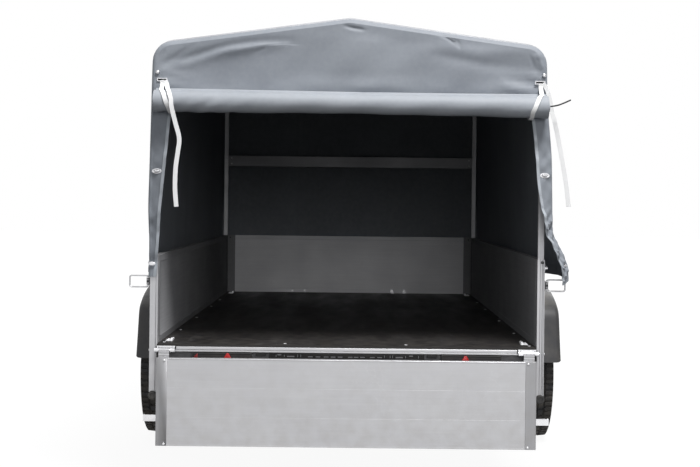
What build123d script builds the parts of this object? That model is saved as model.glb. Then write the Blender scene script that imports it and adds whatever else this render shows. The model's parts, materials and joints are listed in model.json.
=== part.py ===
from build123d import *
import os
from math import atan2, cos, degrees, hypot, radians, sin, tan

# Single-axle box trailer with a high tarpaulin cover.
# Millimetres, +Z up. While the pieces are drawn, y = 0 is the rear face of the corner posts,
# +Y points to the drawbar and x = 0 is the centre plane; the last step moves the whole trailer
# so that its origin is the middle of its footprint, on the ground.

CUT = 1.0                    # how far a cutting shape runs past the faces it cuts
JOIN = 1.0                   # how far two shapes of one piece run into each other

# --- Box -------------------------------------------------------------------------------------
INNER_LENGTH = 2500.0        # clear length, from the posts' rear face to the front board
INNER_WIDTH = 1290.0         # clear width between the side boards
BOARD_HEIGHT = 300.0         # height of the side boards above the floor
BOARD_THICK = 25.0
FLOOR_TOP = 509.0            # height of the load floor above the ground
FLOOR_THICK = 15.0
POST_DEPTH = 40.0            # corner posts, measured along the trailer
POST_FOOT = 345.0            # lower end of the rear posts, which carry the light board
SILL_DEPTH = 40.0
SILL_HEIGHT = 10.0
SILL_LIP = 3.0               # upstand that covers the rear edge of the floor
SILL_LIP_DROP = 8.0          # its top edge below the floor's surface
RAIL_HEIGHT = 40.0           # side rails under the boards
RAIL_WIDTH = 30.0
RAIL_DROP = 1.0              # top of the side rails below the floor's surface
END_CAP = 37.0               # width of the end profiles on the front board and the tailgate
END_CAP_PROUD = 1.0
CROSS_HEIGHT = 40.0          # cross members under the floor
CROSS_WIDTH = 50.0
CROSS_AHEAD_OF_SILL = 5.0
CROSS_BEHIND_AXLE = 500.0
CROSS_AHEAD_OF_AXLE = 720.0

# --- Tailgate --------------------------------------------------------------------------------
GATE_SIDE_GAP = 5.0          # to each post
GATE_FLOOR_GAP = 5.0         # to the floor, when closed
GATE_PROUD = 6.0             # how far the closed tailgate stands behind the posts
GATE_PROFILE = 2.0           # thickness of the top and bottom profiles
GATE_PANEL_INSET = 1.0       # panel face inside the profiles' faces
HINGE_BEHIND = 12.0          # hinge axis behind the posts' rear face
HINGE_DROP = 24.0            # hinge axis below the closed tailgate's lower edge
HINGE_PIN_R = 4.0
HINGE_BARREL_R = 7.5
HINGE_PIN_GAP = 0.08         # radial running clearance
HINGE_PIN_SPARE = 5.0        # how far the leaf's bore is cut past the barrel
HINGE_LUG_WIDTH = 16.0
HINGE_OUTER_LUG_WIDTH = 12.8
HINGE_LUG_STEP = 0.5         # lug's flat top below the top of its barrel
HINGE_LEAF_WIDTH = 36.0
HINGE_LEAF_FROM_END = 40.0   # inner edge of each leaf from the tailgate's end
HINGE_LUG_GAP = 2.0
HINGE_PLATE = 5.0
HINGE_LEAF_DROP = 34.0       # how far each leaf reaches down over the tailgate
HINGE_CLAMP = 3.0            # strap plate that ties the two lugs to the sill's lip
HINGE_CLAMP_LAP = 4.0
HINGE_CLAMP_RISE = 2.0

# --- Latches ---------------------------------------------------------------------------------
LATCH_HEIGHT = 720.0         # centre of the latches above the ground
LATCH_PIVOT_Y = 20.0
LATCH_PIVOT_OUT = 9.0        # pivot beyond the post's outer face
LATCH_PLATE = 3.0
LATCH_PLATE_HALF = 14.0
LATCH_PLATE_RIM = 6.0        # plate above and below the barrel
LATCH_BARREL_R = 6.0
LATCH_NECK_HALF = 5.0
BAIL_REACH = 63.0            # from the pivot to the middle of the end bar
BAIL_HEIGHT = 38.5           # between the middles of the two long wires
BAIL_WIRE = 5.5
BAIL_BEND = 7.0
BAIL_TUCK = 7.0              # straight end of the wire inside the barrel
BAIL_BARREL_GAP = 1.0
KEEPER_HEIGHT = 22.0
KEEPER_PLATE = 3.0
KEEPER_LENGTH = 86.0
KEEPER_FLANGE = 16.0
KEEPER_TIP = 7.0             # flange beyond the latch pivots

# --- Running gear ----------------------------------------------------------------------------
AXLE_FROM_REAR = 1200.0      # wheel centre ahead of the posts' rear face
TYRE_RADIUS = 289.0
TYRE_WIDTH = 157.0
TYRE_CROWN = 5.0             # middle of the tread above its shoulders
TYRE_SHOULDER = 14.0
RIM_RADIUS = 165.0
RIM_WIDTH = 117.0
RIM_THICK = 6.0
WHEEL_FROM_BOX = 101.5       # middle of the tyre from the box's side
DISC_OUT = 12.0              # outer face of the wheel disc's middle from the tyre's middle
DISC_FLAT_R = 70.0
DISC_BULGE = 16.0
DISC_BULGE_R = 100.0
DISC_RIM_STEP = 2.0
VENT_COUNT = 10
VENT_CIRCLE_R = 126.0
VENT_R = 13.0
BOLT_COUNT = 4
BOLT_CIRCLE = 100.0
BOLT_HOLE_R = 7.0
DISC_DRILL = 35.0            # half length of the drills for the disc's holes
CENTRE_HOLE_R = 29.0
HUB_FROM_BOX = 24.0
HUB_RADIUS = 62.0
HUB_BODY_R = 48.0
HUB_FLANGE = 9.0
HUB_SPIGOT_GAP = 1.0
HUB_CAP_REACH = 40.0
STUB_RADIUS = 15.0
STUB_GAP = 0.08
STUB_END_GAP = 4.0
SWING_REACH = 145.0          # axle tube ahead of the wheel centre
SWING_RISE = 56.0            # axle tube above the wheel centre
SWING_INSET = 28.0           # inner face of the swing arms inside the box's side
SWING_PLATE = 22.0
SWING_DEPTH = 56.0
SWING_STUB_R = 32.0
SWING_TUBE_R = 34.0
AXLE_TUBE = 50.0
BRACKET_HALF_WIDTH = 45.0
BRACKET_HALF_LENGTH = 60.0
GUARD_INNER_R = 352.0
GUARD_THICK = 4.0
GUARD_END_RISE = 65.0        # guard ends above the wheel centre
GUARD_WIDTH = 188.0
GUARD_LIP = 34.0

# --- Drawbar ---------------------------------------------------------------------------------
DRAWBAR_REACH = 1070.0       # coupling ball ahead of the front board's outer face
ARM_FROM_SIDE = 133.0        # arm centre line inside the box's clear width at the axle tube
ARM_NOSE = 30.0              # arm centre line from the centre plane at the coupling
ARM_WIDTH = 40.0
ARM_HEIGHT = 60.0
ARM_TAIL = 90.0              # length of the arms behind the axle tube
COUPLING_PLATE = 6.0
COUPLING_PLATE_RIM = 4.0     # plates wider than the arms on each side
COUPLING_SLEEVE = 170.0
COUPLING_WEB_BACK = 75.0     # ball centre ahead of the coupling's web
BALL_RADIUS = 25.0
BALL_GAP = 0.6
SOCKET_DEPTH = 50.0
HEAD_RADIUS = 42.0
HEAD_UP = 36.0               # top and bottom of the socket's body from the ball's centre
HEAD_DOWN = 28.0
HANDLE_WIDTH = 28.0
HANDLE_ROOT_WIDTH = 36.0
HANDLE_ROOT = (-40.0, -4.0)  # lever's root, measured from the ball centre
HANDLE_LIFT = 14.0
HANDLE_THICK = 10.0
HANDLE_TAIL = 90.0           # lever's end behind the web
HANDLE_TIP = 10.0            # lever's front end behind the ball centre

# --- Jockey wheel ----------------------------------------------------------------------------
JOCKEY_BACK = 370.0          # behind the coupling ball
JOCKEY_OFF_ARM = 12.0        # between the outer tube and the arm
JOCKEY_TUBE_R = 24.0
JOCKEY_TUBE_WALL = 2.5
JOCKEY_TUBE_CAP = 4.0
JOCKEY_TUBE_LENGTH = 326.0
JOCKEY_TUBE_BASE = 392.0     # lower end of the outer tube above the ground
JOCKEY_INNER_GAP = 0.5
JOCKEY_STEM_SPARE = 10.0     # between the raised stem and the outer tube's cap
JOCKEY_WHEEL_R = 100.0
JOCKEY_WHEEL_WIDTH = 50.0
JOCKEY_BOSS_R = 22.0
JOCKEY_BOSS_PROUD = 2.0
JOCKEY_WEB_HALF = 12.0
JOCKEY_WEB_FILLET = 4.0
JOCKEY_TREAD = 34.0          # radial depth of the tread's sides
JOCKEY_TREAD_ROUND = 8.0
JOCKEY_TREAD_SLOPE = 6.0
JOCKEY_TRAIL = 40.0
JOCKEY_FORK_PLATE = 5.0
JOCKEY_FORK_SIDE_GAP = 4.0
JOCKEY_FORK_HALF = 22.0
JOCKEY_FORK_NOSE = 24.0
JOCKEY_FORK_GAP = 6.0
JOCKEY_TRAVEL = 150.0
JOCKEY_AXLE_R = 7.0
JOCKEY_AXLE_GAP = 0.1
KINGPIN_R = 8.0
KINGPIN_LENGTH = 24.0
KINGPIN_TOP_GAP = 2.0
STEM_ABOVE_FORK = 2.0
CLAMP_RIM = 9.0
CLAMP_HALF_LENGTH = 45.0
CLAMP_INSET = 8.0            # clamp's upper and lower edges inside the arm's
CRANK_RISE = 30.0
CRANK_REACH = 100.0
CRANK_HALF = 8.0
CRANK_KNOB_R = 12.0
CRANK_KNOB_LENGTH = 60.0

# --- Lights ----------------------------------------------------------------------------------
LAMP_OUTER_X = 526.0
LAMP_WIDTH = 204.0
LAMP_HEIGHT = 128.0
LAMP_DEPTH = 34.0
LAMP_TOP = 481.0
LAMP_ROUND = 8.0
LIGHT_BOARD_FACE = 28.0      # ahead of the posts' rear face
LIGHT_BOARD_THICK = 3.0
LIGHT_BOARD_TOP = 484.0
LIGHT_BOARD_RISE = 5.0       # lower edge above the posts' feet
PLATE_WIDTH = 530.0
PLATE_HEIGHT = 118.0
PLATE_DEPTH = 14.0
FOOT_CAP_R = 15.0
FOOT_CAP_DEPTH = 8.0
FOOT_CAP_DROP = 10.0         # cap's centre below the post's end

# --- Cover -----------------------------------------------------------------------------------
RIDGE_HEIGHT = 1626.0
EAVE_HEIGHT = 1535.0         # where roof slope and wall would meet
COVER_OUT_TOP = 1.0          # cover's outer face from the box's side, at the eaves
COVER_OUT_BOTTOM = 17.0      # and at the skirt's edge
COVER_THICK = 3.0
EAVE_RADIUS = 75.0
RIDGE_RADIUS = 60.0
SKIRT_BOTTOM = 749.0
ROOF_SPLIT = 1440.0          # seam between the roof panel and the walls
COVER_BEHIND = 7.0           # outer face of the rear panel behind the posts
COVER_AHEAD = 12.0           # outer face of the front panel ahead of the front board
FLAP_EDGE = 1371.0           # lower edge of the fixed gable
STRIP_TOP = 60.0             # width of the corner strips at the gable
STRIP_BOTTOM = 35.0
STUD_HEIGHT = 780.0
STUD_R = 5.0
STUD_HOLE_R = 7.0
STUD_BASE_R = 11.0
STUD_BASE = 3.0
STUD_PROUD = 4.0             # stud's end beyond the cover
STUD_BUTTON = (32.0, 12.0)   # turn-button's length and height
STUD_BUTTON_LIFT = 1.0
STUD_BUTTON_THICK = 4.0
STUD_COUNT = 5               # on each side board, besides the one on the rear post
STUD_FROM_POST = 60.0
STUD_FRONT_FROM_SIDE = 185.0
EYELET = (37.0, 15.0, 2.0)   # oval eyelets on the corner strips
EYELET_HEIGHT = 1095.0
EYELET_FROM_EDGE = 28.0
FRAME_TUBE = 20.0
FRAME_SEAT_GAP = 0.3
HOOP_FOOT = 700.0
HOOP_SET = 8.0               # rear hoop ahead of the posts' rear face
RAIL_FROM_SIDE = 205.0       # eave rails inside the box's clear width
ROOF_RAIL_DROP = 1.5
FRONT_RAIL_LOW = 1175.0
FRONT_RAIL_HIGH = 1231.0

# --- Rolled flap -----------------------------------------------------------------------------
ROLL_RADIUS = 41.5
ROLL_LEFT_IN = 9.0           # roll's left end inside the box's side
ROLL_RIGHT_OUT = 14.0        # roll's right end outside the box's side
ROLL_HEIGHT = 1328.0
ROLL_GAP = 0.3               # between the roll and what lies against it
STRAP_WIDTH = 15.0
STRAP_THICK = 2.0
STRAP_LEFT = 35.0            # left strap inside the box's clear width
STRAP_RIGHT = 12.0           # right strap inside the box's clear width
STRAP_BEND = 30.0
STRAP_CUT = 20.0             # half width and height of the cut that opens a strap's ring
STRAP_CUT_HEIGHT = 60.0
# Middle lines of the hanging ends: outwards from the left strap, and from the box's side on
# the right, where the end hangs beside the roll. Both are up from the ground.
LEFT_TAIL = [(0.0, 1330.0), (-8.0, 1290.0), (-35.0, 1210.0), (-20.0, 1140.0), (-19.0, 978.0)]
RIGHT_TAIL = [(-18.0, 1408.0), (28.0, 1335.0), (37.0, 1262.0), (69.0, 1090.0), (82.0, 982.0)]
CORD_RADIUS = 2.0
CORD_BEND_SHARE = 0.45       # share of the shorter run that each of the cord's bends takes
# Corners of the cord: beyond the roll's end, behind its axis, up from the ground.
CORD_COURSE = [(0.0, 0.0, 1329.0), (21.0, 0.0, 1329.0), (46.0, -1.0, 1336.0), (73.0, -1.0, 1349.0)]

# --- Lashing rings ---------------------------------------------------------------------------
RING_FROM_SIDE = 75.0
RING_FROM_END = 110.0
RING_PLATE = (44.0, 24.0, 3.0)
RING_HALF = 20.0             # half width of the ring itself
RING_BAR = 6.0
RING_BACK = -8.0
RING_FRONT = 26.0

# --- Derived places --------------------------------------------------------------------------
HALF = INNER_WIDTH / 2
OUTER = HALF + BOARD_THICK
FRONT = INNER_LENGTH + BOARD_THICK
FRONT_POST = FRONT - POST_DEPTH
BOARD_TOP = FLOOR_TOP + BOARD_HEIGHT
FLOOR_BASE = FLOOR_TOP - FLOOR_THICK
RAIL_TOP = FLOOR_TOP - RAIL_DROP
GATE_BASE = FLOOR_TOP + GATE_FLOOR_GAP
GATE_HEIGHT = BOARD_TOP - GATE_BASE
GATE_HALF = HALF - GATE_SIDE_GAP
HINGE_Y = -HINGE_BEHIND
HINGE_Z = GATE_BASE - HINGE_DROP
HINGE_LEAF_X = GATE_HALF - HINGE_LEAF_FROM_END
GATE_FRONT = HINGE_Y - HINGE_BEHIND + GATE_PROUD     # the hanging tailgate's front face
GATE_REAR = GATE_FRONT - BOARD_THICK
GATE_TOP = HINGE_Z - HINGE_DROP
GATE_BOTTOM = GATE_TOP - GATE_HEIGHT
PIVOT_X = OUTER + LATCH_PIVOT_OUT
LATCH_BARREL_HALF = BAIL_HEIGHT / 2 - BAIL_BEND - BAIL_BARREL_GAP
KEEPER_Z = 2 * HINGE_Z - LATCH_HEIGHT
WHEEL_CENTRE_X = OUTER + WHEEL_FROM_BOX
DISC_X = WHEEL_CENTRE_X + DISC_OUT
GUARD_OUTER_X = OUTER + GUARD_WIDTH
CROSS_BASE = FLOOR_BASE - CROSS_HEIGHT
ARM_BASE = CROSS_BASE - ARM_HEIGHT
ARM_TOP = CROSS_BASE
AXLE_TUBE_Y = AXLE_FROM_REAR + SWING_REACH
AXLE_TUBE_Z = TYRE_RADIUS + SWING_RISE
ARM_SPREAD = HALF - ARM_FROM_SIDE
BALL_Y = FRONT + DRAWBAR_REACH
WEB_Y = BALL_Y - COUPLING_WEB_BACK
BALL_Z = ARM_BASE + ARM_HEIGHT / 2
ARM_SLOPE = (ARM_SPREAD - ARM_NOSE) / (WEB_Y - AXLE_TUBE_Y)
ARM_HALF = ARM_WIDTH / 2 / cos(atan2(ARM_SLOPE, 1))  # half width measured along X


def arm_x(y):
    """Distance of a drawbar arm's centre line from the centre plane."""
    return ARM_NOSE + (WEB_Y - y) * ARM_SLOPE


JOCKEY_Y = BALL_Y - JOCKEY_BACK
JOCKEY_X = arm_x(JOCKEY_Y) + ARM_HALF + JOCKEY_TUBE_R + JOCKEY_OFF_ARM
JOCKEY_TUBE_TOP = JOCKEY_TUBE_BASE + JOCKEY_TUBE_LENGTH
FORK_TOP = 2 * JOCKEY_WHEEL_R + JOCKEY_FORK_GAP + JOCKEY_FORK_PLATE
FRAME_X = OUTER - BOARD_THICK / 2                    # middle of the hoops' legs
REAR_HOOP_Y = HOOP_SET
FRONT_HOOP_Y = FRONT - HOOP_SET - FRAME_TUBE
COVER_HALF_TOP = OUTER + COVER_OUT_TOP
COVER_LEAN = (COVER_OUT_BOTTOM - COVER_OUT_TOP) / (EAVE_HEIGHT - SKIRT_BOTTOM)
COVER_SLOPE = atan2(RIDGE_HEIGHT - EAVE_HEIGHT, COVER_HALF_TOP)
COVER_REAR = -COVER_BEHIND
COVER_FRONT = FRONT + COVER_AHEAD
STUD_FIRST = POST_DEPTH + STUD_FROM_POST
STUD_PITCH = (INNER_LENGTH - POST_DEPTH - STUD_FIRST - STUD_R * 4) / (STUD_COUNT - 1)
STUD_ROWS = [POST_DEPTH / 2, *(STUD_FIRST + k * STUD_PITCH for k in range(STUD_COUNT))]
STUD_FRONT_X = [-(HALF - STUD_FRONT_FROM_SIDE), 0.0, HALF - STUD_FRONT_FROM_SIDE]
ROLL_X = (ROLL_LEFT_IN - OUTER, OUTER + ROLL_RIGHT_OUT)
ROLL_Y = COVER_REAR - ROLL_RADIUS - ROLL_GAP
CORD_POINTS = [(ROLL_X[1] + x, ROLL_Y + y, z) for x, y, z in CORD_COURSE]
RING_PLACES = [(side * (HALF - RING_FROM_SIDE), y)
               for side in (-1, 1) for y in (RING_FROM_END, INNER_LENGTH - RING_FROM_END)]


# --- Helpers ---------------------------------------------------------------------------------
def block(x, y, z):
    """A box between the low and high values given for each axis."""
    size = (x[1] - x[0], y[1] - y[0], z[1] - z[0])
    return Pos(x[0] + size[0] / 2, y[0] + size[1] / 2, z[0] + size[2] / 2) * Box(*size)


def rod(radius, start, end):
    """A round bar between two points."""
    a, b = Vector(*start), Vector(*end)
    return Plane(origin=(a + b) / 2, z_dir=b - a) * Cylinder(radius, (b - a).length)


def rod_x(radius, x, y, z):
    """A round bar along X between the two values of x."""
    return rod(radius, (x[0], y, z), (x[1], y, z))


def rod_z(radius, x, y, z):
    """A round bar along Z between the two values of z."""
    return rod(radius, (x, y, z[0]), (x, y, z[1]))


def around(middle, half):
    """The low and high values at a distance on each side of a middle value."""
    return (middle - half, middle + half)


def mirrored(shape):
    """The shape's mirror image in the centre plane."""
    return mirror(shape, Plane.YZ)


def pair(shape):
    """The shape and its mirror image on the trailer's other side."""
    return Compound(children=[shape, mirrored(shape)])


def group(shapes):
    """Separate solids of one node."""
    return Compound(children=list(shapes))


def extruded(face, start, length):
    """A face drawn in the x-z plane, made solid from y = start over a length along +Y."""
    return Pos(0, start, 0) * extrude(Plane.XZ * face, amount=length, dir=(0, 1, 0))


def polygon(*points):
    """A flat face with straight sides through the points."""
    return make_face(Polyline(*points, close=True))


def turned(points):
    """A ring turned about the wheel's axle from (distance along X, radius) points."""
    return Pos(0, AXLE_FROM_REAR, TYRE_RADIUS) * revolve(Plane.XY * polygon(*points), axis=Axis.X)


# --- Box -------------------------------------------------------------------------------------
def floor_panel():
    return block((-HALF, HALF), (SILL_LIP, INNER_LENGTH), (FLOOR_BASE, FLOOR_TOP))


def rear_sill():
    """Flat bar under the floor's rear edge, with a lip up its end."""
    sill = block((-HALF, HALF), (0, SILL_DEPTH), (FLOOR_BASE - SILL_HEIGHT, FLOOR_BASE))
    return sill + block((-HALF, HALF), (0, SILL_LIP), (FLOOR_BASE - JOIN, FLOOR_TOP - SILL_LIP_DROP))


def side_board():
    return block((HALF, OUTER), (POST_DEPTH, FRONT_POST), (RAIL_TOP, BOARD_TOP))


def front_board():
    """Panel across the front with a wider profile at each end."""
    inner = HALF - END_CAP
    panel = block((-inner, inner), (INNER_LENGTH, FRONT), (FLOOR_TOP, BOARD_TOP))
    caps = [block(x, (INNER_LENGTH - END_CAP_PROUD, FRONT), (FLOOR_TOP, BOARD_TOP))
            for x in ((-HALF, -inner), (inner, HALF))]
    return panel + caps


def post(y, foot, hoop_y):
    """A corner post with the hollow at its top that takes a hoop's leg."""
    socket = block(around(FRAME_X, FRAME_TUBE / 2 + FRAME_SEAT_GAP),
                   (hoop_y - FRAME_SEAT_GAP, hoop_y + FRAME_TUBE + FRAME_SEAT_GAP),
                   (HOOP_FOOT, BOARD_TOP + CUT))
    return block((HALF, OUTER), (y, y + POST_DEPTH), (foot, BOARD_TOP)) - socket


def rear_posts():
    return pair(post(0, POST_FOOT, REAR_HOOP_Y))


def front_posts():
    return pair(post(FRONT_POST, RAIL_TOP, FRONT_HOOP_Y))


def side_rails():
    """Angles under the side boards that the floor lies between."""
    rail = block((OUTER - RAIL_WIDTH, OUTER), (POST_DEPTH, FRONT), (RAIL_TOP - RAIL_HEIGHT, RAIL_TOP))
    return pair(rail - block((0, HALF), (0, FRONT + CUT), (FLOOR_BASE, FLOOR_TOP)))


def cross_members():
    """Bars under the floor, from side rail to side rail."""
    half = OUTER - RAIL_WIDTH
    rows = (SILL_DEPTH + CROSS_AHEAD_OF_SILL, AXLE_FROM_REAR - CROSS_BEHIND_AXLE,
            AXLE_TUBE_Y - CROSS_WIDTH / 2, AXLE_FROM_REAR + CROSS_AHEAD_OF_AXLE, FRONT - CROSS_WIDTH)
    return group(block((-half, half), (y, y + CROSS_WIDTH), (CROSS_BASE, FLOOR_BASE)) for y in rows)


# --- Tailgate --------------------------------------------------------------------------------
def tailgate_panel():
    inner = GATE_HALF - END_CAP
    return block((-inner, inner), (GATE_REAR + GATE_PANEL_INSET, GATE_FRONT - GATE_PANEL_INSET),
                 (GATE_BOTTOM + GATE_PROFILE, GATE_TOP - GATE_PROFILE))


def tailgate_caps():
    """Top, bottom and end profiles around the tailgate's panel."""
    inner = GATE_HALF - END_CAP
    frame = block((-GATE_HALF, GATE_HALF), (GATE_REAR, GATE_FRONT), (GATE_BOTTOM, GATE_TOP))
    return frame - block((-inner, inner), (GATE_REAR - CUT, GATE_FRONT + CUT),
                         (GATE_BOTTOM + GATE_PROFILE, GATE_TOP - GATE_PROFILE))


def tailgate_hinges():
    """Leaves that hang the tailgate on the sill's hinge pins."""
    x = (HINGE_LEAF_X, HINGE_LEAF_X + HINGE_LEAF_WIDTH)
    barrel = rod_x(HINGE_BARREL_R, x, HINGE_Y, HINGE_Z)
    leaf = block(x, (GATE_FRONT, GATE_FRONT + HINGE_PLATE), (GATE_TOP - HINGE_LEAF_DROP, HINGE_Z))
    bore = (x[0] - HINGE_PIN_SPARE, x[1] + HINGE_PIN_SPARE)
    return pair(barrel + leaf - rod_x(HINGE_PIN_R + HINGE_PIN_GAP, bore, HINGE_Y, HINGE_Z))


def sill_hinges():
    """Lugs on the sill with the pins that the leaves turn on."""
    left = HINGE_LEAF_X - HINGE_LUG_GAP - HINGE_LUG_WIDTH
    right = HINGE_LEAF_X + HINGE_LEAF_WIDTH + HINGE_LUG_GAP
    ends = ((left, left + HINGE_LUG_WIDTH), (right, right + HINGE_OUTER_LUG_WIDTH))
    barrel_top = HINGE_Z + HINGE_BARREL_R
    shape = rod_x(HINGE_PIN_R, (ends[0][0], ends[1][1]), HINGE_Y, HINGE_Z)
    for x in ends:
        shape += rod_x(HINGE_BARREL_R, x, HINGE_Y, HINGE_Z)
        shape += block((x[0], min(x[1], HALF)), (HINGE_Y, 0),
                       (FLOOR_BASE - SILL_HEIGHT, barrel_top - HINGE_LUG_STEP))
    shape += block((ends[0][0], HALF - CUT), (-HINGE_CLAMP, 0),
                   (barrel_top - HINGE_CLAMP_LAP, FLOOR_TOP - SILL_LIP_DROP + HINGE_CLAMP_RISE))
    return pair(shape)


def tailgate_keepers():
    """Angle plates near the free edge that the latch bails close over."""
    z = around(KEEPER_Z, KEEPER_HEIGHT / 2)
    tip = PIVOT_X + KEEPER_TIP
    plate = block((tip - KEEPER_LENGTH, tip), (GATE_FRONT, GATE_FRONT + KEEPER_PLATE), z)
    return pair(plate + block((tip - KEEPER_PLATE, tip), (GATE_FRONT, GATE_FRONT + KEEPER_FLANGE), z))


# --- Latches ---------------------------------------------------------------------------------
def latch_bases():
    """Plates on the posts' outer sides with the barrel that each bail turns in."""
    z = around(LATCH_HEIGHT, LATCH_BARREL_HALF)
    plate = block((OUTER, OUTER + LATCH_PLATE), around(LATCH_PIVOT_Y, LATCH_PLATE_HALF),
                  around(LATCH_HEIGHT, LATCH_BARREL_HALF + LATCH_PLATE_RIM))
    barrel = rod_z(LATCH_BARREL_R, PIVOT_X, LATCH_PIVOT_Y, z)
    neck = block((OUTER, PIVOT_X), around(LATCH_PIVOT_Y, LATCH_NECK_HALF), z)
    bore = rod_z(BAIL_WIRE / 2 + HINGE_PIN_GAP, PIVOT_X, LATCH_PIVOT_Y, (z[0] - CUT, z[1] + CUT))
    return pair(plate + barrel + neck - bore)


def latch_bail():
    """Wire bail, turned out sideways; its two ends turn in the base's barrel."""
    half = BAIL_HEIGHT / 2
    end = half - BAIL_BEND - BAIL_TUCK
    tip = PIVOT_X + BAIL_REACH
    points = [(PIVOT_X, end), (PIVOT_X, half), (tip, half), (tip, -half), (PIVOT_X, -half), (PIVOT_X, -end)]
    path = FilletPolyline(*((x, LATCH_PIVOT_Y, LATCH_HEIGHT + z) for x, z in points), radius=BAIL_BEND)
    return sweep(Plane(path @ 0, z_dir=path % 0) * Circle(BAIL_WIRE / 2), path=path)


# --- Running gear ----------------------------------------------------------------------------
def tyre():
    """Solid ring with rounded sides and a slightly crowned tread."""
    x, bead, half = WHEEL_CENTRE_X, RIM_WIDTH / 2, TYRE_WIDTH / 2
    shoulder, crown = half - TYRE_SHOULDER, TYRE_RADIUS - TYRE_CROWN
    belly = (RIM_RADIUS + crown) / 2
    with BuildSketch(Plane.XY) as section:
        with BuildLine():
            Line((x - bead, RIM_RADIUS), (x + bead, RIM_RADIUS))
            ThreePointArc((x + bead, RIM_RADIUS), (x + half, belly), (x + shoulder, crown))
            ThreePointArc((x + shoulder, crown), (x, TYRE_RADIUS), (x - shoulder, crown))
            ThreePointArc((x - shoulder, crown), (x - half, belly), (x - bead, RIM_RADIUS))
        make_face()
    return Pos(0, AXLE_FROM_REAR, TYRE_RADIUS) * revolve(section.sketch, axis=Axis.X)


def disc_hole(radius, circle_r, angle):
    """A drill through the wheel's disc on a circle round the axle."""
    y, z = circle_r * cos(radians(angle)), circle_r * sin(radians(angle))
    return rod_x(radius, around(DISC_X, DISC_DRILL), AXLE_FROM_REAR + y, TYRE_RADIUS + z)


def rim():
    """Steel wheel: barrel, bulged disc, bolt holes and a ring of vents."""
    half, t, bed = RIM_WIDTH / 2, RIM_THICK, RIM_RADIUS - RIM_THICK
    barrel = turned([(WHEEL_CENTRE_X - half, bed), (WHEEL_CENTRE_X + half, bed),
                     (WHEEL_CENTRE_X + half, RIM_RADIUS), (WHEEL_CENTRE_X - half, RIM_RADIUS)])
    face = [(DISC_X, CENTRE_HOLE_R), (DISC_X, DISC_FLAT_R), (DISC_X + DISC_BULGE, DISC_BULGE_R),
            (DISC_X + DISC_RIM_STEP, bed + JOIN)]
    wheel = barrel + turned(face + [(x - t, r) for x, r in reversed(face)])
    for k in range(BOLT_COUNT):
        wheel -= disc_hole(BOLT_HOLE_R, BOLT_CIRCLE / 2, 360 / BOLT_COUNT * (k + 0.5))
    for k in range(VENT_COUNT):
        wheel -= disc_hole(VENT_R, VENT_CIRCLE_R, 360 / VENT_COUNT * k)
    return wheel


def hub():
    """Turned hub: body on the stub, flange against the disc and a closed cap."""
    start, seat = OUTER + HUB_FROM_BOX, DISC_X - RIM_THICK
    bore, spigot = STUB_RADIUS + STUB_GAP, CENTRE_HOLE_R - HUB_SPIGOT_GAP
    cap, end = seat + HUB_CAP_REACH, seat + STUB_END_GAP
    return turned([(start, bore), (start, HUB_BODY_R), (seat - HUB_FLANGE, HUB_BODY_R),
                   (seat - HUB_FLANGE, HUB_RADIUS), (seat, HUB_RADIUS), (seat, spigot), (cap, spigot),
                   (cap, 0), (end, 0), (end, bore)])


def swing_arms():
    """Trailing arms of the rubber-sprung axle, each with its stub for the hub."""
    x = (OUTER - SWING_INSET, OUTER - SWING_INSET + SWING_PLATE)
    turn = degrees(atan2(SWING_RISE, SWING_REACH))
    plate = (Pos((x[0] + x[1]) / 2, AXLE_FROM_REAR + SWING_REACH / 2, TYRE_RADIUS + SWING_RISE / 2)
             * Rot(turn, 0, 0) * Box(SWING_PLATE, hypot(SWING_REACH, SWING_RISE), SWING_DEPTH))
    arm = plate + rod_x(SWING_STUB_R, x, AXLE_FROM_REAR, TYRE_RADIUS)
    arm += rod_x(SWING_TUBE_R, x, AXLE_TUBE_Y, AXLE_TUBE_Z)
    return pair(arm + rod_x(STUB_RADIUS, (x[0], DISC_X - RIM_THICK), AXLE_FROM_REAR, TYRE_RADIUS))


def axle_tube():
    half = OUTER - SWING_INSET
    return block((-half, half), around(AXLE_TUBE_Y, AXLE_TUBE / 2), around(AXLE_TUBE_Z, AXLE_TUBE / 2))


def axle_brackets():
    """Saddles between the axle tube and the drawbar arms."""
    x = around(arm_x(AXLE_TUBE_Y), BRACKET_HALF_WIDTH)
    return pair(block(x, around(AXLE_TUBE_Y, BRACKET_HALF_LENGTH), (AXLE_TUBE_Z + AXLE_TUBE / 2, ARM_BASE)))


def guard_ring(radii, x):
    """A ring round the wheel between two radii and two values of x."""
    hole = rod_x(radii[0], (x[0] - CUT, x[1] + CUT), AXLE_FROM_REAR, TYRE_RADIUS)
    return rod_x(radii[1], x, AXLE_FROM_REAR, TYRE_RADIUS) - hole


def mudguard():
    """Arched guard with an inner flange on the box's side and an outer lip."""
    outer = GUARD_INNER_R + GUARD_THICK
    shell = guard_ring((GUARD_INNER_R, outer), (OUTER, GUARD_OUTER_X))
    shell += guard_ring((outer - GUARD_LIP, outer), (GUARD_OUTER_X - GUARD_THICK, GUARD_OUTER_X))
    shell += guard_ring((outer - GUARD_LIP, outer), (OUTER, OUTER + GUARD_THICK))
    return shell & block((OUTER - CUT, GUARD_OUTER_X + CUT), around(AXLE_FROM_REAR, outer + CUT),
                         (TYRE_RADIUS + GUARD_END_RISE, TYRE_RADIUS + outer + CUT))


# --- Drawbar ---------------------------------------------------------------------------------
def drawbar_arm():
    """One leg of the V, from behind the axle to the coupling."""
    back, front = AXLE_TUBE_Y - ARM_TAIL, WEB_Y
    outline = polygon((arm_x(back) - ARM_HALF, back), (arm_x(back) + ARM_HALF, back),
                      (arm_x(front) + ARM_HALF, front), (arm_x(front) - ARM_HALF, front))
    return Pos(0, 0, ARM_BASE) * extrude(outline, amount=ARM_HEIGHT)


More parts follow.
